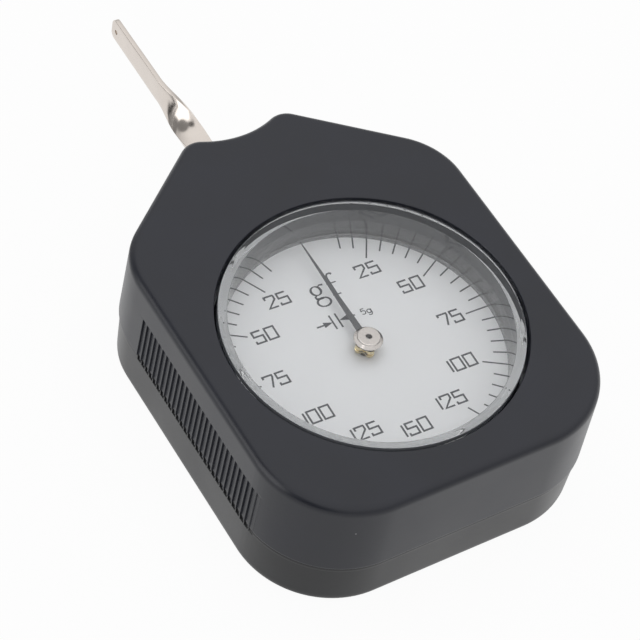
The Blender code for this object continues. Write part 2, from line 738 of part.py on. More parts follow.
def rear_plate():
    bush_radius = PIVOT_RADIUS + GAP + BUSH_WALL + GAP
    loops = [rear_plate_outline(), circle(0, 0, bush_radius),
             circle(0, pivot_reach, bush_radius)]
    loops += [circle(x, y, SMALL_SHANK_RADIUS + GAP, SCREW_STEPS) for x, y in pillar_places()]
    x, y = measuring_stud_place()
    loops.append(circle(x, y, STUD_RADIUS + GAP, SCREW_STEPS))
    frame = plate("rear_plate", loops, rear_plate_low, rear_plate_high, parts)
    return finish(frame, material("rear plate brass", (0.6, 0.43, 0.19), 0.35, 1.0))


def pillars():
    low = rear_plate_high + GAP
    high = front_plate_low - GAP
    bore = SMALL_SHANK_RADIUS + GAP
    roof = low + PILLAR_THREAD + GAP
    look = material("pillar brass", (0.6, 0.43, 0.19), 0.3, 1.0)
    for number, (x, y) in enumerate(pillar_places(), 1):
        profile = [(0, high), (PILLAR_RADIUS, high), (PILLAR_RADIUS, low), (bore, low),
                   (bore, roof), (0, roof)]
        pillar = turned(f"pillar_{number}", profile, parts, SCREW_STEPS)
        pillar.location = (x, y, 0)
        finish(pillar, look)


def bushes():
    """Flanged brass bushes: two in each plate, for the pointer's and the lever's arbors."""
    look = material("bush brass", (0.7, 0.5, 0.24), 0.25, 1.0)
    for name, y in (("pointer", 0), ("lever", pivot_reach)):
        bore = PIVOT_RADIUS + GAP
        body = bore + BUSH_WALL
        flange = body + GAP + BUSH_FLANGE_WIDTH
        rear = turned(f"{name}_rear_bush",
                      [(flange, rear_flange_high), (flange, rear_flange_low),
                       (body, rear_flange_low), (body, rear_plate_low), (bore, rear_plate_low),
                       (bore, rear_flange_high)], parts)
        rear.location = (0, y, 0)
        finish(rear, look)
        bore = FRONT_PIVOT_RADIUS + GAP
        body = bore + BUSH_WALL
        flange = body + GAP + BUSH_FLANGE_WIDTH
        flange_low = front_plate_high + GAP
        flange_high = flange_low + BUSH_FLANGE_THICKNESS
        front = turned(f"{name}_front_bush",
                       [(flange, flange_high), (flange, flange_low), (body, flange_low),
                        (body, front_plate_low), (bore, front_plate_low), (bore, flange_high)],
                       parts)
        front.location = (0, y, 0)
        finish(front, look)


# Lever and what turns with it

def lever():
    """A strip, twisted a quarter turn on the way to its tip, with a round eye at the pivot."""
    end = LEVER_LENGTH
    twist_end = TWIST_START + TWIST_LENGTH
    eye_end = math.sqrt(HUB_RADIUS ** 2 - LEVER_HALF_WIDTH ** 2)

    def half_width(reach):
        if reach < eye_end:
            return math.sqrt(HUB_RADIUS ** 2 - reach ** 2)
        if reach < TWIST_START:
            return LEVER_HALF_WIDTH
        if reach < twist_end:
            share = (reach - TWIST_START) / TWIST_LENGTH
            return LEVER_HALF_WIDTH + (BLADE_HALF_WIDTH - LEVER_HALF_WIDTH) * share
        share = (reach - twist_end) / (end - twist_end)
        plain = BLADE_HALF_WIDTH + (TIP_HALF_WIDTH - BLADE_HALF_WIDTH) * share
        corner = max(0, reach - (end - TIP_ROUND))
        return plain - TIP_ROUND + math.sqrt(max(0, TIP_ROUND ** 2 - corner ** 2))

    def twist(reach):
        share = min(1, max(0, (reach - TWIST_START) / TWIST_LENGTH))
        return math.pi / 2 * (1 - share * share * (3 - 2 * share))

    eye_turns = math.pi - math.asin(LEVER_HALF_WIDTH / HUB_RADIUS)
    reaches = [-HUB_RADIUS * math.cos(EYE_START + (eye_turns - EYE_START) * i / EYE_ROWS)
               for i in range(EYE_ROWS + 1)]
    reaches += [TWIST_START + TWIST_LENGTH * i / TWIST_ROWS for i in range(TWIST_ROWS + 1)]
    reaches += [end - TIP_ROUND * (1 - math.sin(math.pi / 2 * i / TIP_ROWS))
                for i in range(TIP_ROWS + 1)]

    def place(u, v):
        reach = reaches[round(u * (len(reaches) - 1))]
        out = (2 * v - 1) * half_width(reach)
        turn = twist(reach)
        return (out * math.sin(turn), reach, lever_mid + out * math.cos(turn))

    strip = sheet("lever", len(reaches) - 1, 2, place, LEVER_THICKNESS, parts)
    bore = cylinders("lever_bore", LEVER_ARBOR_RADIUS + GAP, lever_low - OVERRUN,
                     lever_high + OVERRUN, [(0, 0)], tools)
    screw_bores = cylinders("lever_screw_bores", LEVER_SHANK_RADIUS + GAP, lever_low - OVERRUN,
                            lever_high + OVERRUN, lever_screw_places(), tools, SCREW_STEPS)
    hole = cylinders("tip_hole", TIP_HOLE_RADIUS, -LEVER_THICKNESS, LEVER_THICKNESS, [(0, 0)],
                     tools, SCREW_STEPS)
    hole.rotation_euler.y = math.pi / 2
    hole.location = (0, end - TIP_HOLE_INSET, lever_mid - TIP_HOLE_DROP)
    for tool in (bore, screw_bores, hole):
        tool.parent = lever_axis
        cut(strip, tool)
    return finish(strip, material("lever nickel", (0.72, 0.69, 0.65), 0.16, 1.0), lever_axis)


def lever_screw_places():
    return [(0, -LEVER_SCREW_REACH), (0, LEVER_SCREW_REACH)]


def lever_arbor():
    low = rear_plate_low + PIVOT_END_INSET
    high = front_plate_high
    profile = [(0, high), (FRONT_PIVOT_RADIUS, high), (FRONT_PIVOT_RADIUS, arbor_high),
               (LEVER_ARBOR_RADIUS, arbor_high), (LEVER_ARBOR_RADIUS, arbor_low),
               (PIVOT_RADIUS, arbor_low), (PIVOT_RADIUS, low), (0, low)]
    arbor = turned("lever_arbor", profile, parts)
    return finish(arbor, material("lever arbor steel", (0.55, 0.55, 0.57), 0.25, 1.0), lever_axis)


def lever_spacer():
    loops = [circle(0, 0, HUB_RADIUS), circle(0, 0, LEVER_ARBOR_RADIUS + GAP)]
    loops += [circle(x, y, LEVER_SHANK_RADIUS + GAP, SCREW_STEPS)
              for x, y in lever_screw_places()]
    disc = plate("lever_spacer", loops, spacer_low, spacer_high, parts)
    return finish(disc, material("spacer brass", (0.66, 0.48, 0.22), 0.35, 1.0), lever_axis)


def sector_gear():
    """A toothed arc on one spoke, screwed under the lever's eye."""
    last = PINION_TEETH // 2 + SPARE_TEETH
    down = -math.pi / 2
    foot = sector_radius - tooth_depth
    rim_inside = foot - SECTOR_RIM
    spread = 2 * math.pi * (last + 1 / 2) / sector_teeth
    outline = [polar(foot, down - spread)]
    outline += tooth_points(sector_radius, sector_teeth, -last, last, down)
    outline += [polar(foot, down + spread)]
    spoke_turn = math.asin(SPOKE_HALF_WIDTH / rim_inside)
    outline += arc(0, 0, rim_inside, down + spread, down + spoke_turn, CORNER_STEPS)
    hub_turn = math.asin(SPOKE_HALF_WIDTH / HUB_RADIUS)
    outline += arc(0, 0, HUB_RADIUS, down + hub_turn, down + 2 * math.pi - hub_turn, ROUND_STEPS)
    outline += arc(0, 0, rim_inside, down - spoke_turn, down - spread, CORNER_STEPS)
    loops = [outline, circle(0, 0, LEVER_ARBOR_RADIUS + GAP)]
    loops += [circle(x, y, LEVER_SHANK_RADIUS + GAP, SCREW_STEPS)
              for x, y in lever_screw_places()]
    gear = plate("sector_gear", loops, sector_low, sector_high, parts)
    return finish(gear, material("sector brass", (0.68, 0.5, 0.23), 0.3, 1.0), lever_axis)


def lever_screws():
    """Two screws that clamp the lever, the spacer and the sector together."""
    length = lever_high + GAP - sector_low
    mesh = screw_mesh("lever_screw", LEVER_HEAD_RADIUS, LEVER_HEAD_HEIGHT, LEVER_SHANK_RADIUS,
                      length)
    mesh.transform(Matrix.Rotation(math.pi, 4, "X"))
    look = material("lever screw steel", (0.5, 0.5, 0.52), 0.3, 1.0)
    for number, (x, y) in enumerate(lever_screw_places(), 1):
        screw = add_object(f"lever_screw_{number}", mesh, parts)
        screw.location = (x, y, lever_high + GAP)
        finish(screw, look, lever_axis)


def spring_collet():
    bore = LEVER_ARBOR_RADIUS + GAP
    profile = [(MEASURING_COLLET_RADIUS, spring_high), (MEASURING_COLLET_RADIUS, spring_low),
               (bore, spring_low), (bore, spring_high)]
    collet = turned("spring_collet", profile, parts)
    return finish(collet, material("collet brass", (0.66, 0.48, 0.22), 0.3, 1.0), lever_axis)


# Springs, which the plates' studs hold at their outer ends

def spiral(name, inner, pitch, turns, thickness, low, high, look):
    """A flat strip wound in a spiral from its collet outwards, its end on the -X side."""
    def place(u, v):
        angle = math.pi - 2 * math.pi * turns * (1 - u)
        radius = inner + thickness / 2 + pitch * turns * u
        x, y = polar(radius, angle)
        return (x, y, low + (high - low) * v)

    strip = sheet(name, turns * SPIRAL_CELLS, 1, place, thickness, parts)
    return finish(strip, look)


def stud_reach(inner, pitch, turns, thickness):
    """How far out a stud stands that the spiral's outer end meets."""
    return inner + thickness + pitch * turns + GAP + STUD_RADIUS


def measuring_inner():
    return MEASURING_COLLET_RADIUS + GAP


def measuring_stud_place():
    reach = stud_reach(measuring_inner(), MEASURING_SPRING_PITCH, MEASURING_SPRING_TURNS,
                       MEASURING_SPRING_THICKNESS)
    return (-reach, pivot_reach)


def hairspring_inner():
    return HAIRSPRING_COLLET_RADIUS + GAP


def hairspring_stud_place():
    reach = stud_reach(hairspring_inner(), HAIRSPRING_PITCH, HAIRSPRING_TURNS,
                       HAIRSPRING_THICKNESS)
    return (-reach, 0)


def springs():
    look = material("spring steel", (0.3, 0.32, 0.38), 0.3, 1.0)
    measuring = spiral("measuring_spring", measuring_inner(), MEASURING_SPRING_PITCH,
                       MEASURING_SPRING_TURNS, MEASURING_SPRING_THICKNESS, spring_low,
                       spring_high, look)
    measuring.location = (0, pivot_reach, 0)
    half = HAIRSPRING_HEIGHT / 2
    spiral("hairspring", hairspring_inner(), HAIRSPRING_PITCH, HAIRSPRING_TURNS,
           HAIRSPRING_THICKNESS, hairspring_mid - half, hairspring_mid + half, look)


def studs():
    """Pins that hold the springs' outer ends."""
    look = material("stud brass", (0.66, 0.48, 0.22), 0.3, 1.0)
    measuring = cylinders("measuring_stud", STUD_RADIUS, rear_plate_low, spring_high,
                          [measuring_stud_place()], parts, SCREW_STEPS)
    finish(measuring, look)
    fine = cylinders("hairspring_stud", STUD_RADIUS, collet_low, front_plate_high,
                     [hairspring_stud_place()], parts, SCREW_STEPS)
    finish(fine, look)


# Pointer and what turns with it

def pointer_arbor():
    low = rear_plate_low + PIVOT_END_INSET
    high = cap_high - CAP_ROOF - GAP
    profile = [(0, high), (FRONT_PIVOT_RADIUS, high), (FRONT_PIVOT_RADIUS, arbor_high),
               (pointer_arbor_radius, arbor_high), (pointer_arbor_radius, arbor_low),
               (PIVOT_RADIUS, arbor_low), (PIVOT_RADIUS, low), (0, low)]
    arbor = turned("pointer_arbor", profile, parts)
    return finish(arbor, material("pointer arbor steel", (0.55, 0.55, 0.57), 0.25, 1.0),
                  pointer_axis)


def pinion():
    phase = math.pi / 2 + math.pi / PINION_TEETH
    loops = [tooth_points(pinion_radius, PINION_TEETH, 0, PINION_TEETH - 1, phase),
             circle(0, 0, pointer_arbor_radius + GAP, SCREW_STEPS)]
    gear = plate("pinion", loops, pinion_low, pinion_high, parts)
    return finish(gear, material("pinion steel", (0.5, 0.5, 0.52), 0.3, 1.0), pointer_axis)


def hairspring_collet():
    bore = pointer_arbor_radius + GAP
    profile = [(HAIRSPRING_COLLET_RADIUS, collet_high), (HAIRSPRING_COLLET_RADIUS, collet_low),
               (bore, collet_low), (bore, collet_high)]
    collet = turned("hairspring_collet", profile, parts)
    return finish(collet, material("fine collet brass", (0.66, 0.48, 0.22), 0.3, 1.0),
                  pointer_axis)


def pointer_collet():
    """The brass collet under the pointer, with notches that let it grip the arbor."""
    outline = []
    step = 2 * math.pi / HUB_COLLET_LOBES
    half_lobe = step * LOBE_ARC_SHARE
    for lobe in range(HUB_COLLET_LOBES):
        middle = step * lobe
        outline += arc(0, 0, HUB_COLLET_RADIUS, middle - half_lobe, middle + half_lobe,
                       LOBE_ARC_STEPS)
        outline.append(polar(HUB_COLLET_RADIUS - HUB_COLLET_NOTCH, middle + step / 2))
    loops = [outline, circle(0, 0, FRONT_PIVOT_RADIUS + GAP, SCREW_STEPS)]
    collet = plate("pointer_collet", loops, hub_collet_low, hub_collet_high, parts)
    return finish(collet, material("pointer collet brass", (0.72, 0.55, 0.28), 0.2, 1.0),
                  pointer_axis)


def pointer():
    """A thin tapered blade with an eye that sits between the collet and the cap."""
    root_turn = math.acos(POINTER_ROOT_HALF_WIDTH / POINTER_EYE_RADIUS)
    outline = arc(0, 0, POINTER_EYE_RADIUS, math.pi - root_turn, 2 * math.pi + root_turn,
                  ROUND_STEPS)
    outline += [(POINTER_TIP_HALF_WIDTH, pointer_length),
                (-POINTER_TIP_HALF_WIDTH, pointer_length)]
    loops = [outline, circle(0, 0, FRONT_PIVOT_RADIUS + GAP, SCREW_STEPS)]
    blade = plate("pointer", loops, pointer_low, pointer_high, parts)
    blade.rotation_euler.z = POINTER_REST_TURN
    return finish(blade, material("pointer grey", (0.09, 0.09, 0.1), 0.45, 0.4), pointer_axis)


def pointer_cap():
    """The nickel cap on the arbor: a flange, a flat top and a small eye in the middle."""
    bore = FRONT_PIVOT_RADIUS + GAP
    roof = cap_high - CAP_ROOF
    profile = [(CAP_TOP_RADIUS, cap_high), (CAP_FLANGE_RADIUS, cap_low + CAP_FLANGE_HEIGHT),
               (CAP_FLANGE_RADIUS, cap_low), (bore, cap_low), (bore, roof),
               (CAP_EYE_RADIUS, roof), (CAP_EYE_RADIUS, cap_high)]
    cap = turned("pointer_cap", profile, parts, CAP_STEPS)
    return finish(cap, material("cap nickel", (0.75, 0.72, 0.68), 0.15, 1.0), pointer_axis)


clear_scene()
parts = collection("dial_tension_gauge")
tools = collection("cutters")
lever_axis = axis("lever_axis", 0, pivot_reach)
pointer_axis = axis("pointer_axis", 0, 0)

front_housing()
rear_cover()
crystal()
dial_plate()
case_screws()
movement_screws()
stop_pins()
front_plate()
rear_plate()
pillars()
bushes()
lever()
lever_arbor()
lever_spacer()
sector_gear()
lever_screws()
spring_collet()
springs()
studs()
pointer_arbor()
pinion()
hairspring_collet()
pointer_collet()
pointer()
pointer_cap()
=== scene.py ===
"""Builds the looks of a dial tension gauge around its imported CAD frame.

Metres, +Z up. The gauge lies on its back on a pale floor. The origin is on the dial's axis,
in the rear face, and +Y runs along the body to the lever's tip.
"""

import math

import bmesh
import bpy
from bpy.props import FloatProperty, FloatVectorProperty, IntProperty, PointerProperty
from mathutils import Matrix, Vector


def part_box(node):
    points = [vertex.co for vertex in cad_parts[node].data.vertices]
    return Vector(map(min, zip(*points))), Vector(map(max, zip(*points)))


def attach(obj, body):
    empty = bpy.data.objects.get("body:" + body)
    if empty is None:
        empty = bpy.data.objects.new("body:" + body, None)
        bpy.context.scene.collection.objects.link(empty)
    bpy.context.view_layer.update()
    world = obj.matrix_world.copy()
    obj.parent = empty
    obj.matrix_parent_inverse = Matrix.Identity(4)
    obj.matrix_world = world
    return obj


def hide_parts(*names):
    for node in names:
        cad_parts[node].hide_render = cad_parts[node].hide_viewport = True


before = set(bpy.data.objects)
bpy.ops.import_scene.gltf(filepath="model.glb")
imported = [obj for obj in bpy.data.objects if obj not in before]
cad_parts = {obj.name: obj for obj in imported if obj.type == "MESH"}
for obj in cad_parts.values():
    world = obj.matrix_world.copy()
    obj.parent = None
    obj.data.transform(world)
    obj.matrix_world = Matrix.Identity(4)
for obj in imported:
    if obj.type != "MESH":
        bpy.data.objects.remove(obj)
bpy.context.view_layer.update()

bl_info = {
    "name": "Dial Tension Gauge",
    "version": (1, 0, 0),
    "blender": (4, 5, 0),
    "location": "View3D > Sidebar > Gauge",
    "description": "Builds the looks of a dial tension gauge around its packed frame",
    "category": "Object",
}

CASE, LEVER, POINTER = "case", "lever_group", "pointer_group"


# Settings

def length(name, description, default):
    return FloatProperty(name=name, description=description, default=default, min=0.0,
                         unit="LENGTH", subtype="DISTANCE", precision=5)


def share(name, description, default):
    return FloatProperty(name=name, description=description, default=default, min=0.0,
                         soft_max=1.0, subtype="FACTOR")


def angle(name, description, degrees):
    return FloatProperty(name=name, description=description, default=math.radians(degrees),
                         subtype="ANGLE", unit="ROTATION")


def count(name, description, default):
    return IntProperty(name=name, description=description, default=default, min=1)


def number(name, description, default):
    return FloatProperty(name=name, description=description, default=default, min=0.0)


def colour(name, description, default):
    return FloatVectorProperty(name=name, description=description, default=default, min=0.0,
                               max=1.0, size=3, subtype="COLOR")


class GaugeCaseSettings(bpy.types.PropertyGroup):
    wall: length("Wall", "Thickness of the side walls", 0.0022)
    roof: length("Face thickness", "Thickness of the front face", 0.0024)
    floor: length("Floor thickness", "Thickness of the back", 0.0022)
    face_edge: length("Face edge", "Radius of the edge round the front face", 0.0015)
    back_edge: length("Back edge", "Radius of the edge round the back", 0.0018)
    window_edge: length("Window edge", "Radius of the edge round the window", 0.00022)
    seam_edge: length("Seam edge", "Radius of the edges that meet at the seam", 0.00012)
    seam_gap: length("Seam gap", "Gap between the two shells", 0.0001)
    well_wall: length("Well wall", "Thickness of the dial well's wall", 0.0016)
    ledge_width: length("Ledge width", "Width of the ledge under the dial", 0.0038)
    bottom_corner: length("Bottom corners", "Radius of the two bottom corners", 0.01635)
    shoulder_corner: length("Shoulder corners", "Radius of the two shoulder corners", 0.0133)
    shoulder_angle: angle("Shoulder angle", "Direction of the shoulder walls' normals", 51.06)
    lobe_radius: length("Lobe radius", "Radius of the two lobes of the neck", 0.004)
    lobe_spread: length("Lobe spread", "Middle of the neck to the centre of a lobe", 0.00829)
    lobe_rise: length("Lobe rise", "Height of the lobes above the dip", 0.00172)
    front_draft: length("Front draft", "Growth of the front shell from face to seam", 0.0003)
    cover_growth: length("Cover growth", "Growth of the rear cover at the seam", 0.0001)
    cover_draft: length("Cover draft", "Taper of the rear cover from seam to back", 0.0002)
    grip_count: count("Grip grooves", "Grooves down each side", 29)
    grip_pitch: length("Grip pitch", "Distance from groove to groove", 0.00132)
    grip_rib: length("Grip rib", "Width of the ribs between the grooves", 0.00028)
    grip_depth: length("Grip depth", "Depth of the grooves", 0.0003)
    grip_height: length("Grip height", "Length of the grooves up the side", 0.0105)
    grip_drop: length("Grip drop", "How far below the seam the grooves start", 0.001)
    grip_edge: length("Grip edge", "Bevel of the grooves' edges", 0.00005)
    grip_gloss: share("Grip gloss", "Specular level of the grooves' matte floors", 0.3)
    slot_half_width: length("Lever slot", "Half the width of the slot in the neck", 0.0059)
    post_radius: length("Post radius", "Radius of the screw posts", 0.0036)
    bore_radius: length("Post bore", "Radius of the screws' bores", 0.0014)
    counterbore_radius: length("Counterbore", "Radius of the screw heads' recesses", 0.0027)
    counterbore_depth: length("Counterbore depth", "Depth of those recesses", 0.0029)
    housing_colour: colour("Housing colour", "Colour of the front shell", (0.0128, 0.0144, 0.0222))
    cover_colour: colour("Cover colour", "Colour of the rear shell", (0.0112, 0.0118, 0.0138))
    dust_colour: colour("Dust", "Colour of the fine specks on the plastic", (0.32, 0.32, 0.33))
    roughness: share("Roughness", "Roughness of the moulded plastic", 0.34)
    grain: share("Grain", "Strength of the moulded grain", 0.12)


class GaugeWindowSettings(bpy.types.PropertyGroup):
    edge_width: length("Edge width", "Width of the crystal's eased outer edge", 0.0007)
    edge_drop: length("Edge drop", "How far that edge falls away", 0.00012)
    lip: length("Lip", "Radius of the corner outside that edge", 0.00006)
    rise: length("Rise", "Face of the crystal above the solid's", 0.0001)
    seat: length("Seat", "Gap between the dial and the crystal's foot", 0.00002)
    inner_edge: length("Inner edge", "Radius inside the crystal's rim", 0.00005)
    foot_edge: length("Foot edge", "Bevel of the crystal's foot", 0.0001)
    thickness: length("Thickness", "Thickness of the crystal's top", 0.0011)
    skirt: length("Skirt", "Thickness of the crystal's wall", 0.00155)
    taper: length("Taper", "How much the rim widens from the top to its foot", 0.00027)
    foot_height: length("Foot", "Height of the foot that centres the crystal", 0.001)
    foot_haze: share("Foot haze", "Roughness under the foot, which isn't polished", 0.25)
    # Two bands painted round the crystal's outer wall darken its rim: grey at the top, thin and
    # dark further down
    upper_bond: length("Upper bond", "Depth of the bond round the top", 0.00105)
    lower_bond: length("Lower bond", "Depth where the thin bond starts", 0.00175)
    bond_end: length("Bond end", "Depth where the thin bond ends", 0.0049)
    bond: colour("Bond", "Colour of the bond round the top of the wall", (0.23, 0.24, 0.262))
    thin_bond: colour("Thin bond", "Colour of the thin bond further down", (0.085, 0.09, 0.103))
    tint: colour("Tint", "Colour of the clear acrylic", (0.965, 0.975, 0.98))
    bend: number("Bend", "Index of refraction of the acrylic", 1.49)


class GaugeDialSettings(bpy.types.PropertyGroup):
    edge: length("Edge", "Bevel of the dial plate", 0.00005)
    hole: length("Hole", "Radius of the hole round the pointer's arbor", 0.0014)
    ink_height: length("Ink", "Thickness of the printed ink", 0.00002)
    print_turn: angle("Print turn", "How far the print is turned on the plate", -1.4)
    tick_width: length("Tick width", "Width of the scale's lines", 0.00026)
    tick_end: length("Tick end", "Dial axis to the outer ends of the lines", 0.0237)
    short_start: length("Short lines", "Dial axis to the inner ends of the short lines", 0.0213)
    long_start: length("Long lines", "Dial axis to the inner ends of the long lines", 0.01935)
    division: angle("Division", "Angle of one division", 6.0)
    division_value: count("Division value", "Gram-force of one division", 5)
    label_value: count("Label value", "Gram-force between two numbers", 25)
    first_value: count("First value", "Gram-force of the first line", 15)
    last_value: count("Last value", "Gram-force of the last line", 150)
    digit_height: length("Digit height", "Height of the numbers", 0.0024)
    digit_width: length("Digit width", "Width of one digit", 0.00165)
    digit_gap: length("Digit gap", "Gap between two digits", 0.00066)
    stroke: length("Stroke", "Width of the numbers' strokes", 0.00033)
    silver: colour("Dial", "Colour of the dial plate", (0.83, 0.825, 0.832))
    ink: colour("Ink colour", "Colour of the print", (0.05, 0.052, 0.06))


class GaugePointerSettings(bpy.types.PropertyGroup):
    turn: angle("Rest turn", "How far the pointer is turned at rest", -0.9)
    root_half_width: length("Root", "Half the blade's width at its root", 0.0006)
    tip_half_width: length("Tip", "Half the blade's width at its tip", 0.00006)
    crown: length("Crown", "Rounding of the blade's upper edges", 0.00005)
    bore: length("Bore", "Radius of the bore for the arbor", 0.0011)
    collet_edge: length("Collet edge", "Bevel of the collet's edges", 0.0001)
    waist: share("Waist", "Height of the collet's waist", 0.42)
    lobe_grow: length("Lobe growth", "How far the collet's lobes stand proud", 0.0003)
    notch: length("Notch", "Depth of the collet's notches", 0.0008)
    lobes: count("Lobes", "Lobes of the brass collet", 4)
    lobe_turn: angle("Lobe turn", "Turn of the collet's notches", 38.0)
    cap_boss: length("Cap boss", "Radius of the boss under the cap", 0.0014)
    cap_top: length("Cap top", "Radius of the cap's raised top", 0.00189)
    cap_eye: length("Cap eye", "Radius of the eye in the cap", 0.0005)
    cap_edge: length("Cap edge", "Radius of the cap's edges", 0.00007)
    cap_roof: length("Cap roof", "Thickness of the cap over its bore", 0.0004)
    cap_drop: length("Cap drop", "Top of the cap down to its flange", 0.00034)
    cap_flange: length("Cap flange", "Thickness of the flange", 0.0004)
    cap_slope: length("Cap slope", "How far the flange falls to its rim", 0.00026)
    grey: colour("Pointer", "Colour of the pointer", (0.06, 0.062, 0.068))
    brass: colour("Collet", "Colour of the brass collet", (0.84, 0.71, 0.43))
    nickel: colour("Cap", "Colour of the nickel-plated cap", (0.72, 0.66, 0.62))


class GaugeLeverSettings(bpy.types.PropertyGroup):
    thickness: length("Thickness", "Thickness of the strip", 0.0009)
    half_width: length("Half width", "Half the strip's width at the body", 0.00215)
    neck_half_width: length("Neck", "Half the strip's width where the twist begins", 0.00233)
    neck_start: length("Neck start", "Pivot to where the strip widens", 0.012)
    sway: length("Sway", "How far the start of the twist stands to the right", 0.0003)
    blade_half_width: length("Blade", "Half the blade's width past the twist", 0.0023)
    tip_half_width: length("Tip", "Half the blade's width at the tip", 0.00213)
    twist_start: length("Twist start", "Pivot to the start of the twist", 0.02)
    twist_length: length("Twist length", "Length of the twist", 0.017)
    eye_radius: length("Eye", "Radius of the round eye at the pivot", 0.0044)
    eye_bore: length("Eye bore", "Radius of the bore in the eye", 0.0018)
    screw_bore: length("Screw bore", "Radius of the two screws' bores", 0.0009)
    screw_reach: length("Screw reach", "Pivot to the two screws", 0.0031)
    edge: length("Edge", "Radius of the strip's long edges", 0.00007)
    tip_round: length("Tip corners", "Radius of the corners at the tip", 0.0011)
    hole_radius: length("Tip hole", "Radius of the small hole at the tip", 0.00045)
    hole_inset: length("Hole inset", "Tip to the small hole", 0.0016)
    hole_drop: length("Hole drop", "How far the hole lies below the middle", 0.0001)
    nickel: colour("Nickel", "Colour of the nickel plating", (0.71, 0.65, 0.6))


class GaugeMovementSettings(bpy.types.PropertyGroup):
    plate_brass: colour("Plate brass", "Colour of the two plates", (0.62, 0.45, 0.2))
    turned_brass: colour("Turned brass", "Colour of pillars, bushes and studs",
                         (0.66, 0.48, 0.22))
    gear_brass: colour("Gear brass", "Colour of the sector", (0.68, 0.5, 0.23))
    screw_steel: colour("Screw steel", "Colour of the screws", (0.45, 0.45, 0.46))
    pin_steel: colour("Pin steel", "Colour of arbors, pinion and pins", (0.55, 0.55, 0.57))
    spring_steel: colour("Spring steel", "Colour of the blued springs", (0.13, 0.16, 0.28))


class GaugeStageSettings(bpy.types.PropertyGroup):
    floor_half: length("Floor", "Half the width of the floor", 3.0)
    floor_drop: length("Floor drop", "Gap under the gauge", 0.00005)
    floor_colour: colour("Floor colour", "Colour of the floor", (0.9, 0.9, 0.9))
    backdrop: share("Backdrop", "Share of plain white that the camera sees in the floor", 0.95)
    # Gloss rays see the floor as plain white, with painted shade on its dim side
    mirrored_floor: share("Mirrored floor", "Share of plain white that gloss sees", 0.88)
    dim_floor: share("Dim floor", "The same on the floor's dim side", 0.33)
    dim_start: length("Dim start", "Dial axis to where the floor starts to dim", 0.028)
    dim_end: length("Dim end", "Dial axis to where the floor is fully dim", 0.042)
    sky: number("Sky", "Strength of the plain light all round", 0.72)
    low_sky: share("Low sky", "Brightness that gloss sees near the horizon", 0.6)
    key_power: number("Key power", "Watts of the large soft lamp", 1.9)
    key_size: length("Key size", "Width of the large soft lamp", 0.8)
    azimuth: angle("Azimuth", "Camera direction round the gauge", -40.895)
    elevation: angle("Elevation", "Camera height above the floor", 50.867)
    roll: angle("Roll", "Camera roll", 13.412)
    distance: length("Distance", "Camera to its target", 0.453863)
    target: FloatVectorProperty(name="Target", description="Point that the camera looks at",
                                default=(0.005838, 0.019455, 0.0), size=3,
                                subtype="TRANSLATION", unit="LENGTH", precision=6)
    focal: number("Focal length", "Millimetres of lens on a 36 mm sensor", 147.98)


# Mesh helpers

CUT_OVERRUN = 0.001


def polar(radius, turn):
    return (radius * math.cos(turn), radius * math.sin(turn))


def mesh_piece(name, points, faces, smooth=30.0):
    """A mesh object with outward normals, smooth but for edges sharper than an angle."""
    mesh = bpy.data.meshes.new(name)
    form = bmesh.new()
    corners = [form.verts.new(point) for point in points]
    for face in faces:
        form.faces.new([corners[i] for i in face])
    bmesh.ops.recalc_face_normals(form, faces=form.faces)
    form.to_mesh(mesh)
    form.free()
    mesh.shade_smooth()
    mesh.set_sharp_from_angle(angle=math.radians(smooth))
    piece = bpy.data.objects.new(name, mesh)
    bpy.context.scene.collection.objects.link(piece)
    return piece


def ring_piece(name, rings, closed=False, smooth=30.0):
    """A piece from rings of points: closed round like a tube, or with both its ends capped."""
    size = len(rings[0])
    faces = []
    for ring in range(len(rings) if closed else len(rings) - 1):
        low = ring * size
        high = (ring + 1) % len(rings) * size
        for i in range(size):
            j = (i + 1) % size
            faces.append((low + i, low + j, high + j, high + i))
    if not closed:
        faces += [list(range(size)), [(len(rings) - 1) * size + i for i in range(size)]]
    return mesh_piece(name, [point for ring in rings for point in ring], faces, smooth)


def dress(piece, look, body, slot_name, *nodes):
    """Gives a piece its material, its body and the CAD nodes it stands for; slot_name is not used.
    """
    piece.data.materials.clear()
    piece.data.materials.append(look)
    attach(piece, body)
    if nodes:
        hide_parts(*nodes)


def revolve(name, profile, steps, ring=False, smooth=30.0):
    """Turns (radius, height) points round the Z axis. Ends on the axis close to a point."""
    points, rows = [], []
    for radius, height in profile:
        if radius < 1e-9:
            rows.append([len(points)] * steps)
            points.append((0, 0, height))
            continue
        rows.append([len(points) + i for i in range(steps)])
        points += [(*polar(radius, 2 * math.pi * i / steps), height) for i in range(steps)]
    faces = []
    pairs = list(zip(rows, rows[1:])) + ([(rows[-1], rows[0])] if ring else [])
    for one, two in pairs:
        for i in range(steps):
            j = (i + 1) % steps
            faces.append(list(dict.fromkeys((one[i], one[j], two[j], two[i]))))
    return mesh_piece(name, points, faces, smooth)


def rounded(start, corner, end, steps):
    """Points of a round corner between two points on its straight sides."""
    points = []
    for i in range(steps + 1):
        t = i / steps
        turn = t * math.pi / 2
        a, b = 1 - math.sin(turn), 1 - math.cos(turn)
        points.append(tuple(corner[k] + (start[k] - corner[k]) * a + (end[k] - corner[k]) * b
                            for k in range(2)))
    return points


def prism(points, faces, outline, low, high):
    """Adds an upright prism on a plain outline to a list of points and faces."""
    base = len(points)
    size = len(outline)
    points += [(x, y, low) for x, y in outline] + [(x, y, high) for x, y in outline]
    faces.append([base + i for i in reversed(range(size))])
    faces.append([base + size + i for i in range(size)])
    for i in range(size):
        j = (i + 1) % size
        faces.append([base + i, base + j, base + size + j, base + size + i])


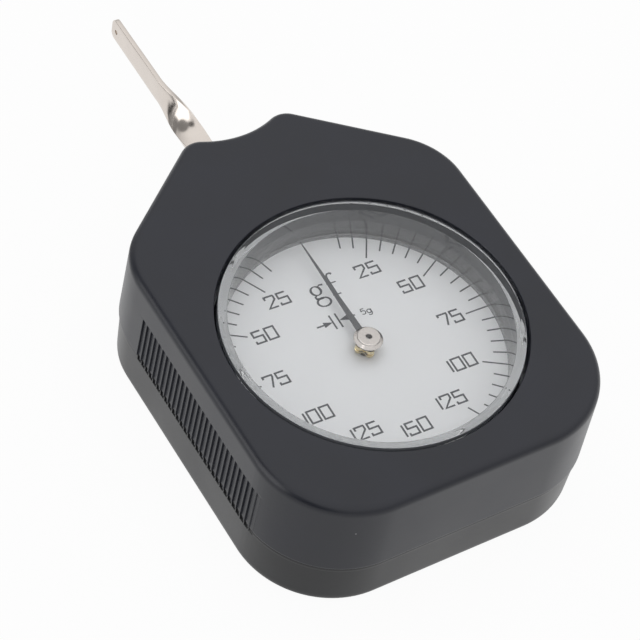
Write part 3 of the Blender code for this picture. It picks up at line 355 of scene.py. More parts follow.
def stroke_sides(line, closed, widths):
    """The left and right edges of a pen stroke with mitred corners."""
    size = len(line)
    left, right = [], []
    for i, (x, y) in enumerate(line):
        before = line[i - 1] if i or closed else None
        after = line[(i + 1) % size] if i < size - 1 or closed else None
        ways = []
        for start, end in ((before, (x, y)), ((x, y), after)):
            if start is not None and end is not None:
                way = Vector((end[0] - start[0], end[1] - start[1]))
                if way.length > 0:
                    ways.append(way.normalized())
        way = sum(ways, Vector((0, 0))).normalized()
        side = Vector((-way.y, way.x))
        spread = widths[i] / 2
        if len(ways) == 2:
            spread /= max(0.5, math.sqrt((1 + ways[0].dot(ways[1])) / 2))
        left.append((x + side.x * spread, y + side.y * spread))
        right.append((x - side.x * spread, y - side.y * spread))
    return left, right


def cut_with(piece, tool, operation="DIFFERENCE"):
    """Applies one exact Boolean and drops the tool."""
    step = piece.modifiers.new("cut", "BOOLEAN")
    step.operation = operation
    step.solver = "EXACT"
    step.object = tool
    bpy.context.view_layer.update()
    graph = bpy.context.evaluated_depsgraph_get()
    mesh = bpy.data.meshes.new_from_object(piece.evaluated_get(graph))
    piece.modifiers.clear()
    piece.data = mesh
    bpy.data.objects.remove(tool, do_unlink=True)
    mesh.shade_smooth()
    mesh.set_sharp_from_angle(angle=math.radians(30))


def upright(name, radius, low, high, places, steps=48):
    """One upright cylinder at each place, as a Boolean tool."""
    points, faces = [], []
    for x, y in places:
        turns = [2 * math.pi * i / steps for i in range(steps)]
        prism(points, faces, [(x + radius * math.cos(turn), y + radius * math.sin(turn))
                              for turn in turns], low, high)
    return mesh_piece(name, points, faces)


# Materials

class Nodes:
    """Adds and joins the nodes of one material or world."""

    def __init__(self, look):
        look.use_nodes = True
        self.look = look
        self.tree = look.node_tree
        self.shader = self.tree.nodes.get("Principled BSDF")
        self.coordinates = self.add("ShaderNodeTexCoord").outputs
        self.place = self.coordinates["Object"]

    def feed(self, socket, value):
        """Links a node's output to a socket, or gives the socket a plain value."""
        if isinstance(value, bpy.types.NodeSocket):
            self.tree.links.new(value, socket)
        else:
            socket.default_value = (*value, 1.0) if socket.type == "RGBA" else value

    def add(self, kind, feeds=None, **settings):
        """Adds a node, with its settings and what its inputs take, by name or number."""
        node = self.tree.nodes.new(kind)
        for name, value in settings.items():
            setattr(node, name, value)
        for name, value in (feeds or {}).items():
            self.feed(node.inputs[name], value)
        return node

    def finish(self, feeds):
        """Feeds the material's own shader."""
        for name, value in feeds.items():
            self.feed(self.shader.inputs[name], value)

    def show(self, shader):
        """Makes a shader the one that the material or world shows."""
        output = next(node for node in self.tree.nodes if node.type.startswith("OUTPUT"))
        self.feed(output.inputs["Surface"], shader)

    def mapped(self, feeds):
        return self.add("ShaderNodeMapping", {"Vector": self.place, **feeds}).outputs["Vector"]

    def split(self, vector):
        return self.add("ShaderNodeSeparateXYZ", {"Vector": vector}).outputs

    def noise(self, vector, scale, detail=2.0, roughness=0.5):
        return self.add("ShaderNodeTexNoise", {"Vector": vector, "Scale": scale, "Detail": detail,
                                               "Roughness": roughness}).outputs["Fac"]

    def spread(self, value, low, high, start=0.0, end=1.0, **settings):
        """Maps start to low and end to high, and holds there."""
        feeds = {"Value": value, "From Min": start, "From Max": end, "To Min": low,
                 "To Max": high}
        return self.add("ShaderNodeMapRange", feeds, **settings).outputs["Result"]

    def blend(self, factor, one, two):
        return self.add("ShaderNodeMix", {0: factor, 6: one, 7: two},
                        data_type="RGBA").outputs[2]

    def tone(self, mask, base, dark, light, start=0.3, end=0.7):
        """A colour that drifts from a dark to a light share of its base with a mask."""
        return self.blend(self.spread(mask, 0.0, 1.0, start, end), tinted(base, dark),
                          tinted(base, light))

    def combine(self, operation, one, two):
        """One sum with two numbers."""
        return self.add("ShaderNodeMath", {0: one, 1: two}, operation=operation).outputs["Value"]

    def vector(self, operation, one, two):
        return self.add("ShaderNodeVectorMath", {0: one, 1: two}, operation=operation).outputs

    def mix(self, factor, one, two):
        return self.add("ShaderNodeMixShader", {0: factor, 1: one, 2: two}).outputs["Shader"]

    def bump(self, height, strength, distance):
        node = self.add("ShaderNodeBump", {"Strength": strength, "Distance": distance,
                                           "Height": height})
        self.finish({"Normal": node.outputs["Normal"]})


def fresh(name):
    return Nodes(bpy.data.materials.new(name))


def tinted(colour_value, factor):
    return tuple(min(1.0, channel * factor) for channel in colour_value)


def moulded_plastic(name, base, gloss=0.5):
    """Satin moulded plastic: fine grain, slow patches in its gloss and a few dust specks."""
    case = bpy.context.scene.gauge_case
    look = fresh(name)
    patches = look.noise(look.place, 90.0, 3.0)
    fine = look.noise(look.place, 5200.0, 2.0, 0.6)
    specks = look.add("ShaderNodeTexVoronoi", {"Vector": look.place, "Scale": 240.0},
                      feature="F1").outputs
    near = look.spread(specks["Distance"], 1.0, 0.0, 0.018, 0.042)
    draw = look.add("ShaderNodeSeparateColor", {"Color": specks["Color"]}).outputs["Red"]
    dusty = look.combine("MULTIPLY", near, look.combine("GREATER_THAN", draw, 0.9))
    satin = look.spread(patches, case.roughness - 0.035, case.roughness + 0.035, 0.3, 0.7)
    look.finish({"Base Color": look.blend(dusty, look.tone(patches, base, 0.88, 1.16),
                                          case.dust_colour),
                 "Roughness": look.combine("ADD", satin, look.spread(fine, -0.03, 0.03)),
                 "IOR": 1.5, "Specular IOR Level": gloss})
    look.bump(fine, case.grain, 0.00002)
    return look.look


def clear_acrylic(name, outer, top, bottom):
    """Polished acrylic on a satin foot, with a grey band and a thin dark band painted round its
    wall to darken its rim.
    """
    window = bpy.context.scene.gauge_window
    look = fresh(name)
    height = look.split(look.place)["Z"]
    marks = look.spread(look.noise(look.place, 160.0, 4.0), 0.0, 0.012, 0.45, 0.8)
    foot = look.spread(height, window.foot_haze, 0.0, bottom, bottom + 0.00003)
    look.finish({"Base Color": window.tint, "Transmission Weight": 1.0, "IOR": window.bend,
                 "Roughness": look.combine("ADD", marks, foot)})
    # Painted bands on the outer wall that darken the rim: grey round the top, thin and dark
    # further down
    flat = look.vector("MULTIPLY", look.place, (1.0, 1.0, 0.0))["Vector"]
    reach = look.vector("LENGTH", flat, (0.0, 0.0, 0.0))["Value"]
    wall = look.spread(reach, 0.0, 1.0, outer - 0.00004, outer - 0.00001)
    thin = look.combine("MULTIPLY", look.combine("LESS_THAN", height, top - window.lower_bond),
                        look.combine("GREATER_THAN", height, top - window.bond_end))
    bands = look.combine("ADD", look.combine("GREATER_THAN", height, top - window.upper_bond),
                         thin)
    dull = look.add("ShaderNodeBsdfDiffuse", {"Color": look.blend(thin, window.bond,
                                                                  window.thin_bond)})
    banded = look.mix(look.combine("MULTIPLY", wall, bands), look.shader.outputs["BSDF"],
                      dull.outputs["BSDF"])
    through = look.add("ShaderNodeBsdfTransparent", {"Color": window.tint}).outputs["BSDF"]
    shadow = look.add("ShaderNodeLightPath").outputs["Is Shadow Ray"]
    look.show(look.mix(shadow, banded, through))
    return look.look


def silver_dial(name, base):
    """Matte silver-white paint with a very fine sparkle."""
    look = fresh(name)
    fine = look.noise(look.place, 9000.0, 1.0)
    slow = look.spread(look.noise(look.place, 140.0, 2.0), 0.0, 0.5, 0.3, 0.7)
    sparkle = look.tone(fine, base, 0.965, 1.035, 0.35, 0.65)
    look.finish({"Base Color": look.blend(slow, sparkle, tinted(base, 1.0)), "Metallic": 0.1,
                 "Roughness": look.spread(fine, 0.48, 0.6)})
    look.bump(fine, 0.05, 0.00001)
    return look.look


def thin_coat(name, base, scale, shades, gloss, relief):
    """Ink or thin paint: one fine noise drives its shade, its roughness and its relief."""
    look = fresh(name)
    fine = look.noise(look.place, scale, 3.0)
    look.finish({"Base Color": look.tone(fine, base, *shades),
                 "Roughness": look.spread(fine, *gloss)})
    look.bump(fine, *relief)
    return look.look


def bare_metal(look, base, slow, shades, gloss, grain, swing, relief):
    """Metal: a slow noise drives its shade and gloss, and a grain its gloss and relief."""
    look.finish({"Base Color": look.tone(slow, base, *shades), "Metallic": 1.0,
                 "Roughness": look.combine("ADD", look.spread(slow, *gloss),
                                           look.spread(grain, -swing, swing))})
    look.bump(grain, *relief)
    return look.look


def plated_metal(name, base, low, high):
    """Bright plating: soft clouds and fine polish lines along the piece."""
    look = fresh(name)
    lines = look.noise(look.mapped({"Scale": (1.0, 0.06, 1.0)}), 5200.0, 2.0)
    return bare_metal(look, base, look.noise(look.place, 220.0, 3.0), (0.95, 1.04),
                      (low, high, 0.3, 0.7), lines, 0.02, (0.03, 0.00001))


def turned_metal(name, base, roughness, centre):
    """Metal from the lathe: fine rings round its axis and slight tarnish."""
    look = fresh(name)
    shifted = look.mapped({"Location": tuple(-value for value in centre)})
    rings = look.add("ShaderNodeTexWave", {"Vector": shifted, "Scale": 2600.0,
                                           "Distortion": 0.4},
                     wave_type="RINGS", rings_direction="Z").outputs["Fac"]
    return bare_metal(look, base, look.noise(look.place, 420.0, 3.0), (0.84, 1.08, 0.3, 0.72),
                      (roughness - 0.05, roughness + 0.08), rings, 0.03, (0.06, 0.000008))


def stamped_metal(name, base, roughness, stretch=(1.0, 0.05, 1.0)):
    """Rolled and stamped sheet: grain in one direction and slight tarnish."""
    look = fresh(name)
    grain = look.noise(look.mapped({"Scale": stretch}), 3200.0, 3.0)
    return bare_metal(look, base, look.noise(look.place, 260.0, 4.0), (0.82, 1.08, 0.3, 0.72),
                      (roughness - 0.06, roughness + 0.08), grain, 0.05, (0.08, 0.00001))


# Outline of the case

ARC_STEP, LOBE_STEP = 0.0007, 0.00035
WALL_STEP, NECK_STEP = 0.0015, 0.0012
SLOT_STEP = 0.00002


class Column:
    """One point of the outline: its place, its outward normal and what is cut there."""

    def __init__(self, x, y, normal, groove=0.0, slot=False):
        self.x, self.y = x, y
        self.normal = normal
        self.groove = groove
        self.slot = slot

    def at(self, inset, scale=1.0):
        return ((self.x - self.normal[0] * inset) * scale,
                (self.y - self.normal[1] * inset) * scale)


class CaseSizes:
    """Sizes of the case that come from the frame."""

    def __init__(self):
        low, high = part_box("front_housing")
        dial_low, dial_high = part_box("dial_plate")
        draft = bpy.context.scene.gauge_case.front_draft
        self.half = high.x - draft
        self.grow = 1 + draft / (high.x - draft)
        self.bottom = -low.y / self.grow
        self.lobe_reach = high.y / self.grow
        self.face = high.z
        self.seam = (low.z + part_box("rear_cover")[1].z) / 2
        self.well = dial_high.x
        self.ledge_low, self.ledge_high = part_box("front_plate")[1].z, dial_low.z


def clearance():
    """The gap that the CAD leaves between pieces that rest on each other."""
    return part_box("pointer_collet")[0].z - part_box("dial_plate")[1].z


def lever_heights():
    """Low and high faces of the lever's flat part, from its spacer and its thickness."""
    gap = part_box("lever_spacer")[0].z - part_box("sector_gear")[1].z
    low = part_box("lever_spacer")[1].z + gap
    return low, low + bpy.context.scene.gauge_lever.thickness, gap


def arc_columns(x, y, radius, start, end, step, concave=False):
    """Columns on an arc; a concave arc's normals point at its centre."""
    steps = max(2, math.ceil(abs(end - start) * radius / step))
    columns = []
    for i in range(steps + 1):
        turn = start + (end - start) * i / steps
        way = (math.cos(turn), math.sin(turn))
        normal = (-way[0], -way[1]) if concave else way
        columns.append(Column(x + radius * way[0], y + radius * way[1], normal))
    return columns


def straight_columns(one, two, step):
    """Columns strictly between two columns on a straight wall."""
    reach = math.hypot(two.x - one.x, two.y - one.y)
    steps = max(1, math.ceil(reach / step))
    return [Column(one.x + (two.x - one.x) * i / steps, one.y + (two.y - one.y) * i / steps,
                   two.normal) for i in range(1, steps)]


def grip_columns(half, bottom, case):
    """Columns of the grooves on the +X side, from low to high, also past the corner's start."""
    groove = (case.grip_pitch - case.grip_rib) / 2
    bevel = case.grip_edge
    corner = case.bottom_corner
    columns = []
    for i in range(case.grip_count):
        middle = (i - (case.grip_count - 1) / 2) * case.grip_pitch
        for offset, depth in ((-groove - bevel, 0.0), (-groove, bevel), (-groove + bevel, 1.0),
                              (groove - bevel, 1.0), (groove, bevel), (groove + bevel, 0.0)):
            y = middle + offset
            turn = math.asin(min(0.0, (y - (corner - bottom)) / corner))
            x = half - corner + corner * math.cos(turn)
            full = case.grip_depth - (half - x)
            columns.append(Column(x, y, (math.cos(turn), math.sin(turn)),
                                  full if depth == 1.0 else depth))
    return columns


def case_columns(sizes):
    """The whole outline, once round, against the clock from the bottom's middle."""
    case = bpy.context.scene.gauge_case
    half, bottom = sizes.half, sizes.bottom
    normal = (math.cos(case.shoulder_angle), math.sin(case.shoulder_angle))
    lobe_height = sizes.lobe_reach - case.lobe_radius
    neck = sizes.lobe_reach - case.lobe_rise
    reach = case.lobe_spread * normal[0] + lobe_height * normal[1] + case.lobe_radius
    shoulder_x = half - case.shoulder_corner
    shoulder_y = (reach - case.shoulder_corner - shoulder_x * normal[0]) / normal[1]
    drop = lobe_height - neck
    dip_radius = ((case.lobe_spread ** 2 + drop ** 2 - case.lobe_radius ** 2)
                  / (2 * (case.lobe_radius + drop)))
    dip_height = neck + dip_radius
    dip_turn = math.atan2(case.lobe_spread, dip_height - lobe_height)
    corner = case.bottom_corner
    grips = grip_columns(half, bottom, case)
    last = math.asin(min(0.0, (grips[0].y - (corner - bottom)) / corner))
    right = arc_columns(half - corner, corner - bottom, corner, -math.pi / 2, last, ARC_STEP)
    base = Column(0.0, -bottom, (0.0, -1.0))
    right = [base] + straight_columns(base, right[0], WALL_STEP) + right[:-1] + grips
    shoulder = arc_columns(shoulder_x, shoulder_y, case.shoulder_corner, 0,
                           case.shoulder_angle, ARC_STEP)
    right += straight_columns(grips[-1], shoulder[0], WALL_STEP) + shoulder
    lobe = arc_columns(case.lobe_spread, lobe_height, case.lobe_radius, case.shoulder_angle,
                       math.pi / 2 + dip_turn, LOBE_STEP)
    right += straight_columns(shoulder[-1], lobe[0], NECK_STEP) + lobe
    slot_turn = math.asin(case.slot_half_width / dip_radius)
    start = dip_turn - math.pi / 2
    edge = slot_turn - math.pi / 2
    dip = arc_columns(0, dip_height, dip_radius, edge, -math.pi / 2, ARC_STEP, concave=True)
    if start > edge:
        right.append(dip[0])
    step = SLOT_STEP / dip_radius
    inner = arc_columns(0, dip_height, dip_radius, edge - step, -math.pi / 2, ARC_STEP,
                        concave=True)
    for column in inner:
        column.slot = True
    right += inner
    left = [Column(-c.x, c.y, (-c.normal[0], c.normal[1]), c.groove, c.slot)
            for c in reversed(right[1:-1])]
    return right + left


# The two shells

class Shell:
    """Collects the rings of a shell, each with one point for every column of the outline."""

    def __init__(self, columns, grown):
        self.columns, self.grown = columns, grown
        self.rings = []

    def wall(self, inset, height, groove=0.0, scale=None):
        """A ring along the outline, at one height or at a list of them, one for each column.

        Groove is how much of each groove's depth applies, 0 or 1."""
        scale = self.grown(height) if scale is None else scale
        heights = height if isinstance(height, list) else [height] * len(self.columns)
        self.rings.append([(*column.at(inset + column.groove * groove, scale), level)
                           for column, level in zip(self.columns, heights)])

    def well(self, radius, height):
        """A ring of the dial well, with its points at the columns' own directions."""
        reaches = [math.hypot(column.x, column.y) for column in self.columns]
        self.rings.append([(column.x / reach * radius, column.y / reach * radius, height)
                           for column, reach in zip(self.columns, reaches)])


def post_places():
    """The screws' places, from the frame."""
    boxes = [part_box(f"case_screw_{i}") for i in range(1, 5)]
    return [((low.x + high.x) / 2, (low.y + high.y) / 2) for low, high in boxes]


def finish_shell(piece, part, node, base, low, high):
    """Gives a shell its plastic, and the groove floors from low to high a matte one."""
    case = bpy.context.scene.gauge_case
    dress(piece, moulded_plastic(part + "_plastic", base), CASE, part + "_plastic", node)
    piece.data.materials.append(moulded_plastic(part + "_grooves", base, case.grip_gloss))
    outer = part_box("front_housing")[1].x - case.wall / 2
    narrow = (case.grip_pitch - case.grip_rib) / 4
    half = case.grip_pitch * case.grip_count / 2
    for face in piece.data.polygons:
        x, y, z = face.center
        off = (y + half) % case.grip_pitch - case.grip_pitch / 2
        if abs(x) > outer and abs(y) < half and abs(off) < narrow and low < z < high:
            face.material_index = 1


def build_front_housing():
    case = bpy.context.scene.gauge_case
    sizes = CaseSizes()
    columns = case_columns(sizes)
    well = sizes.well + clearance()
    ledge_low, ledge_high = sizes.ledge_low + clearance(), sizes.ledge_high - clearance()
    face, roof = sizes.face, sizes.face - case.roof
    seam = sizes.seam + case.seam_gap / 2
    _, lever_high, lever_gap = lever_heights()
    lows = [lever_high + lever_gap if column.slot else seam for column in columns]

    def grown(height):
        return 1 + (sizes.grow - 1) * (face - height) / (face - seam)

    shell = Shell(columns, grown)
    edge = case.window_edge
    corner = rounded((well, face - edge), (well, face), (well + edge, face), 3)
    for radius, height in [(well, ledge_high), (well, face - edge * 2), *corner,
                           (well + edge * 2, face)]:
        shell.well(radius, height)
    edge = case.face_edge
    corner = rounded((edge, face), (0.0, face), (0.0, face - edge), 7)
    for inset, height in [(edge * 1.25, face), *corner, (0.0, face - edge * 1.25)]:
        shell.wall(inset, height)
    groove_top = sizes.seam - case.grip_drop + case.grip_height
    bevel = case.grip_edge
    for height, groove in ((groove_top + bevel * 4, 0.0), (groove_top + bevel, 0.0),
                           (groove_top - bevel, 1.0), (groove_top - bevel * 6, 1.0),
                           ((groove_top + seam) / 2, 1.0)):
        shell.wall(0.0, height, groove)
    edge = case.seam_edge
    for inset, up in [(0.0, edge * 3), *rounded((0.0, edge), (0.0, 0.0), (edge, 0.0), 2)]:
        shell.wall(inset, [low + up for low in lows], 1.0, grown(seam))
    for height in (lows, [low + edge for low in lows], roof):
        shell.wall(case.wall, height, scale=1.0)
    outer, inner = well + case.well_wall, well - case.ledge_width
    for radius, height in ((outer, roof), (outer, ledge_low), (inner, ledge_low),
                           (inner, ledge_high)):
        shell.well(radius, height)
    piece = ring_piece("housing_shell", shell.rings, closed=True)
    places = post_places()
    cut_with(piece, upright("posts", case.post_radius, seam + clearance(),
                            roof + case.roof / 2, places), "UNION")
    bore_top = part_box("case_screw_1")[1].z + clearance()
    cut_with(piece, upright("bores", case.bore_radius, seam - case.wall, bore_top, places, 32))
    finish_shell(piece, "housing", "front_housing", case.housing_colour, seam - case.wall,
                 groove_top)


def build_rear_cover():
    case = bpy.context.scene.gauge_case
    sizes = CaseSizes()
    columns = case_columns(sizes)
    seam = sizes.seam - case.seam_gap / 2
    lever_low, _, lever_gap = lever_heights()
    highs = [lever_low - lever_gap if column.slot else seam for column in columns]

    def grown(height):
        return 1 + (case.cover_growth - case.cover_draft * (seam - height) / seam) / sizes.half

    shell = Shell(columns, grown)
    edge = case.back_edge
    corner = rounded((edge, 0.0), (0.0, 0.0), (0.0, edge), 7)
    for inset, height in [(edge * 1.3, 0.0), *corner, (0.0, edge * 1.3)]:
        shell.wall(inset, height)
    groove_low = sizes.seam - case.grip_drop
    bevel = case.grip_edge
    for height, groove in ((groove_low - bevel * 5, 0.0), (groove_low - bevel, 0.0),
                           (groove_low + bevel, 1.0)):
        shell.wall(0.0, height, groove)
    edge = case.seam_edge
    under = [min(high - edge * 1.5, seam if column.slot else groove_low + bevel * 3)
             for column, high in zip(columns, highs)]
    shell.wall(0.0, under, 1.0, grown(seam))
    for inset, down in rounded((0.0, edge), (0.0, 0.0), (edge, 0.0), 2):
        shell.wall(inset, [high - down for high in highs], 1.0, grown(seam))
    for height in (highs, case.floor):
        shell.wall(case.wall, height, scale=1.0)
    piece = ring_piece("cover_shell", shell.rings)
    places = post_places()
    cut_with(piece, upright("posts", case.post_radius, case.floor / 2, seam, places), "UNION")
    cut_with(piece, upright("bores", case.bore_radius, case.floor / 2, seam + case.wall,
                            places, 32))
    cut_with(piece, upright("heads", case.counterbore_radius, -case.floor,
                            case.counterbore_depth, places))
    finish_shell(piece, "cover", "rear_cover", case.cover_colour, groove_low, seam)


# Crystal and dial

CRYSTAL_STEPS, DIAL_STEPS = 160, 128
EASE_STEPS, EASE_POWER = 12, 1.5


def build_crystal():
    """A clear cup: a flat top with an eased edge, on a rim that stands on the dial."""
    window = bpy.context.scene.gauge_window
    foot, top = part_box("crystal")[1].x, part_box("crystal")[1].z + window.rise
    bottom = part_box("dial_plate")[1].z + window.seat
    outer = foot - window.taper
    inner = outer - window.skirt
    under = top - window.thickness
    wide, low, lip = window.edge_width, top - window.edge_drop, window.lip
    inside, bevel = window.inner_edge, window.foot_edge
    # The third point keeps the flat top's shading flat beside the eased edge
    profile = [(0, top), (outer * 0.5, top), (outer - lip - wide * 1.06, top)]
    profile += [(outer - lip - wide * (1 - i / EASE_STEPS),
                 top - window.edge_drop * (i / EASE_STEPS) ** EASE_POWER)
                for i in range(EASE_STEPS)]
    profile += rounded((outer - lip, low), (outer, low - lip * 0.35), (outer, low - lip * 1.5),
                       4)
    profile += [(foot, bottom + window.foot_height), (foot, bottom + bevel),
                (foot - bevel, bottom), (inner, bottom), (inner, under - inside * 1.4)]
    profile += rounded((inner, under - inside), (inner, under), (inner - inside, under), 5)
    profile += [(inner - inside * 1.4, under), (inner * 0.5, under), (0, under)]
    piece = revolve("crystal_cup", profile, CRYSTAL_STEPS, smooth=40.0)
    dress(piece, clear_acrylic("clear_acrylic", outer, top, bottom), CASE, "clear_acrylic",
          "crystal")


def build_dial():
    dial = bpy.context.scene.gauge_dial
    low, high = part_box("dial_plate")
    edge, hole, outer = dial.edge, dial.hole, high.x
    profile = [(outer - edge, high.z), (outer, high.z - edge), (outer, low.z + edge),
               (outer - edge, low.z), (hole + edge, low.z), (hole, low.z + edge),
               (hole, high.z - edge), (hole + edge, high.z)]
    piece = revolve("dial_disc", profile, DIAL_STEPS, ring=True)
    dress(piece, silver_dial("dial_silver", dial.silver), CASE, "dial_silver", "dial_plate")


# Digits as pen strokes, in shares of a digit's width and height: points, and whether closed
DIGIT_SHARES = {
    "0": ([(0, 0), (1, 0), (1, 1), (0, 1)], True),
    "1": ([(0, 1), (0, 0)], False),
    "2": ([(0, 0.74), (0, 1), (0.96, 1), (1, 0.96), (1, 0.66), (0, 0.0), (1, 0)], False),
    "5": ([(0.94, 1), (0, 1), (0, 0.56), (1, 0.56), (1, 0), (0, 0), (0, 0.2)], False),
    "7": ([(0, 0.8), (0, 1), (1, 1), (1, 0.84), (0.52, 0)], False),
}
# Middle of each number: right and up from the dial's axis, as shares of the dial's radius
NUMBER_SHARES = {25: (0.338, 0.574), 50: (0.547, 0.353), 75: (0.650, 0.010),
                 100: (0.534, -0.334), 125: (0.315, -0.563), 150: (0.0, -0.659)}
# Unit and legend are in hundredths of a millimetre from the dial's axis
HUNDREDTH = 0.00001
UNIT_THIN, UNIT_THICK = 18, 42
UNIT_G, UNIT_F = (-173, 1378), (128, 1186)
UNIT_STROKES = (
    (UNIT_G, [(-30, -88), (-70, -118), (-66, -155), (-20, -172), (60, -172)],
     [18, 32.4, 36, 37.8, 36]),
    (UNIT_G, [(62, 62), (105, 94), (170, 84)], [18, 25.2, 36]),
    (UNIT_F, [(0, 0), (0, 340), (10, 400), (42, 442), (90, 446), (120, 420)],
     [42, 42, 37.8, 27, 30.6, 43.2]),
    (UNIT_F, [(-68, 248), (110, 248)], 23.4),
    (UNIT_F, [(-74, 0), (80, 0)], 23.4),
)
LEGEND_BARS, BAR_ENDS, BAR_PEN = (-226, -115), (546, 848), 30
# Each arrow of the legend: tip, tail and the side it points to
LEGEND_ARROWS = ((-230, -529, 1), (-103, 190, -1))
ARROW_HEIGHT, HEAD_LENGTH, HEAD_HALF = 695, 165, 56
LEGEND_FIVE, FIVE_SIZE = (314, 645), (74, 112)
FIVE_SHARES = ((0.95, 1), (0.14, 1), (0.04, 0.58), (0.45, 0.66), (0.9, 0.56), (1, 0.32),
               (0.82, 0.06), (0.42, 0), (0, 0.08))
LEGEND_G, LEGEND_G_TAIL = (450, 675), ((41, 40), (40, -45), (20, -75), (-10, -78), (-32, -60))


class Print:
    """Collects one printed piece: pen strokes and filled shapes as thick as the ink."""

    def __init__(self):
        dial = bpy.context.scene.gauge_dial
        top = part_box("dial_plate")[1].z
        self.low, self.high = top - dial.ink_height / 2, top + dial.ink_height
        self.points, self.faces = [], []

    def fill(self, outline):
        prism(self.points, self.faces, outline, self.low, self.high)

    def stroke(self, line, width, closed=False):
        """One pen stroke as a thin solid. Width is one value or one for each point."""
        widths = width if isinstance(width, list) else [width] * len(line)
        left, right = stroke_sides(line, closed, widths)
        base, size = len(self.points), len(line)
        for side, height in ((left, self.low), (right, self.low), (left, self.high),
                             (right, self.high)):
            self.points.extend((x, y, height) for x, y in side)
        a, b, c, d = (base + size * k for k in range(4))
        for i in range(size if closed else size - 1):
            j = (i + 1) % size
            for one, two in ((a, b), (c, d), (a, c), (b, d)):
                self.faces.append([one + i, one + j, two + j, two + i])
        if not closed:
            self.faces += [[a + i, b + i, d + i, c + i] for i in (0, size - 1)]

    def small_stroke(self, origin, line, width, closed=False):
        """A pen stroke in hundredths of a millimetre from an origin."""
        if isinstance(width, list):
            width = [value * HUNDREDTH for value in width]
        else:
            width *= HUNDREDTH
        self.stroke([((origin[0] + x) * HUNDREDTH, (origin[1] + y) * HUNDREDTH)
                     for x, y in line], width, closed)

    def number(self, text, middle):
        dial = bpy.context.scene.gauge_dial
        # A one is a single upright stroke and takes no width
        widths = [0.0 if digit == "1" else dial.digit_width for digit in text]
        x = middle[0] - (sum(widths) + dial.digit_gap * (len(text) - 1)) / 2
        y = middle[1] - dial.digit_height / 2
        for digit, width in zip(text, widths):
            line, closed = DIGIT_SHARES[digit]
            self.stroke([(x + u * width, y + v * dial.digit_height) for u, v in line],
                        dial.stroke, closed)
            x += width + dial.digit_gap

    def press(self, name, ink):
        """Puts the print on the dial, turned as the real print is."""
        turn = Matrix.Rotation(bpy.context.scene.gauge_dial.print_turn, 3, "Z")
        piece = mesh_piece(name, [turn @ Vector(point) for point in self.points], self.faces)
        dress(piece, ink, CASE, "dial_silver")


def print_lines(ink):
    dial = bpy.context.scene.gauge_dial
    lines = Print()
    for value in range(dial.first_value, dial.last_value + 1, dial.division_value):
        start = dial.short_start if value % dial.label_value else dial.long_start
        for side in (1, -1) if value < dial.last_value else (1,):
            turn = math.pi / 2 - side * dial.division * value / dial.division_value
            way = Vector(polar(1, turn))
            across = Vector((-way.y, way.x)) * (dial.tick_width / 2)
            ends = (way * start - across, way * dial.tick_end - across,
                    way * dial.tick_end + across, way * start + across)
            lines.fill([tuple(end) for end in ends])
    lines.press("scale_lines", ink)


def print_numbers(ink):
    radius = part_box("dial_plate")[1].x
    numbers = Print()
    for value, (x, y) in NUMBER_SHARES.items():
        for side in (1, -1) if x else (1,):
            numbers.number(str(value), (side * x * radius, y * radius))
    numbers.press("scale_numbers", ink)


def oval(wide, tall, turn, steps, x=0, y=0):
    """Points of a turned oval."""
    points = []
    for i in range(steps):
        t = 2 * math.pi * i / steps
        u, v = wide * math.cos(t), tall * math.sin(t)
        points.append((x + u * math.cos(turn) - v * math.sin(turn),
                       y + u * math.sin(turn) + v * math.cos(turn)))
    return points


def pen_widths(steps, thin, thick, phase=0.0):
    """Widths of an oval drawn with a broad pen: thick at its sides, thin above and below."""
    return [thin + (thick - thin) * abs(math.cos(2 * math.pi * i / steps + phase))
            for i in range(steps)]


def print_unit(ink):
    """The unit of the scale, gram-force, in plain book letters."""
    unit = Print()
    steps = 32
    unit.small_stroke(UNIT_G, oval(86, 92, 0, steps), pen_widths(steps, UNIT_THIN, UNIT_THICK),
                      True)
    unit.small_stroke(UNIT_G, oval(118, 90, 0.05, steps, 26, -252),
                      pen_widths(steps, UNIT_THIN * 1.3, UNIT_THICK * 0.9, 0.3), True)
    for origin, line, width in UNIT_STROKES:
        unit.small_stroke(origin, line, width)
    unit.press("scale_unit", ink)


def print_legend(ink):
    """The legend of one division: two bars, an arrow on each side and its value."""
    legend = Print()
    for x in LEGEND_BARS:
        legend.small_stroke((x, 0), [(0, y) for y in BAR_ENDS], BAR_PEN)
    for tip, tail, side in LEGEND_ARROWS:
        y, head = ARROW_HEIGHT, tip - side * HEAD_LENGTH
        outline = [(tip, y), (head, y + HEAD_HALF), (head, y - HEAD_HALF)][::side]
        legend.fill([(u * HUNDREDTH, v * HUNDREDTH) for u, v in outline])
        legend.small_stroke((0, y), [(tail, 0), (head, 0)], BAR_PEN)
    wide, tall = FIVE_SIZE
    legend.small_stroke(LEGEND_FIVE, [(u * wide, v * tall) for u, v in FIVE_SHARES], 17)
    legend.small_stroke(LEGEND_G, oval(36, 38, 0, 18), 18, True)
    legend.small_stroke(LEGEND_G, LEGEND_G_TAIL, 18)
    legend.press("division_legend", ink)


def build_dial_print():
    ink = thin_coat("dial_ink", bpy.context.scene.gauge_dial.ink, 6000.0, (0.85, 1.2),
                    (0.5, 0.7), (0.1, 0.000005))
    for part in (print_lines, print_numbers, print_unit, print_legend):
        part(ink)


# Pointer and hub

EYE_STEPS, BLADE_STEPS, COLLET_STEPS, CAP_STEPS = 40, 8, 120, 96
SIDE_SLOPE = 0.03


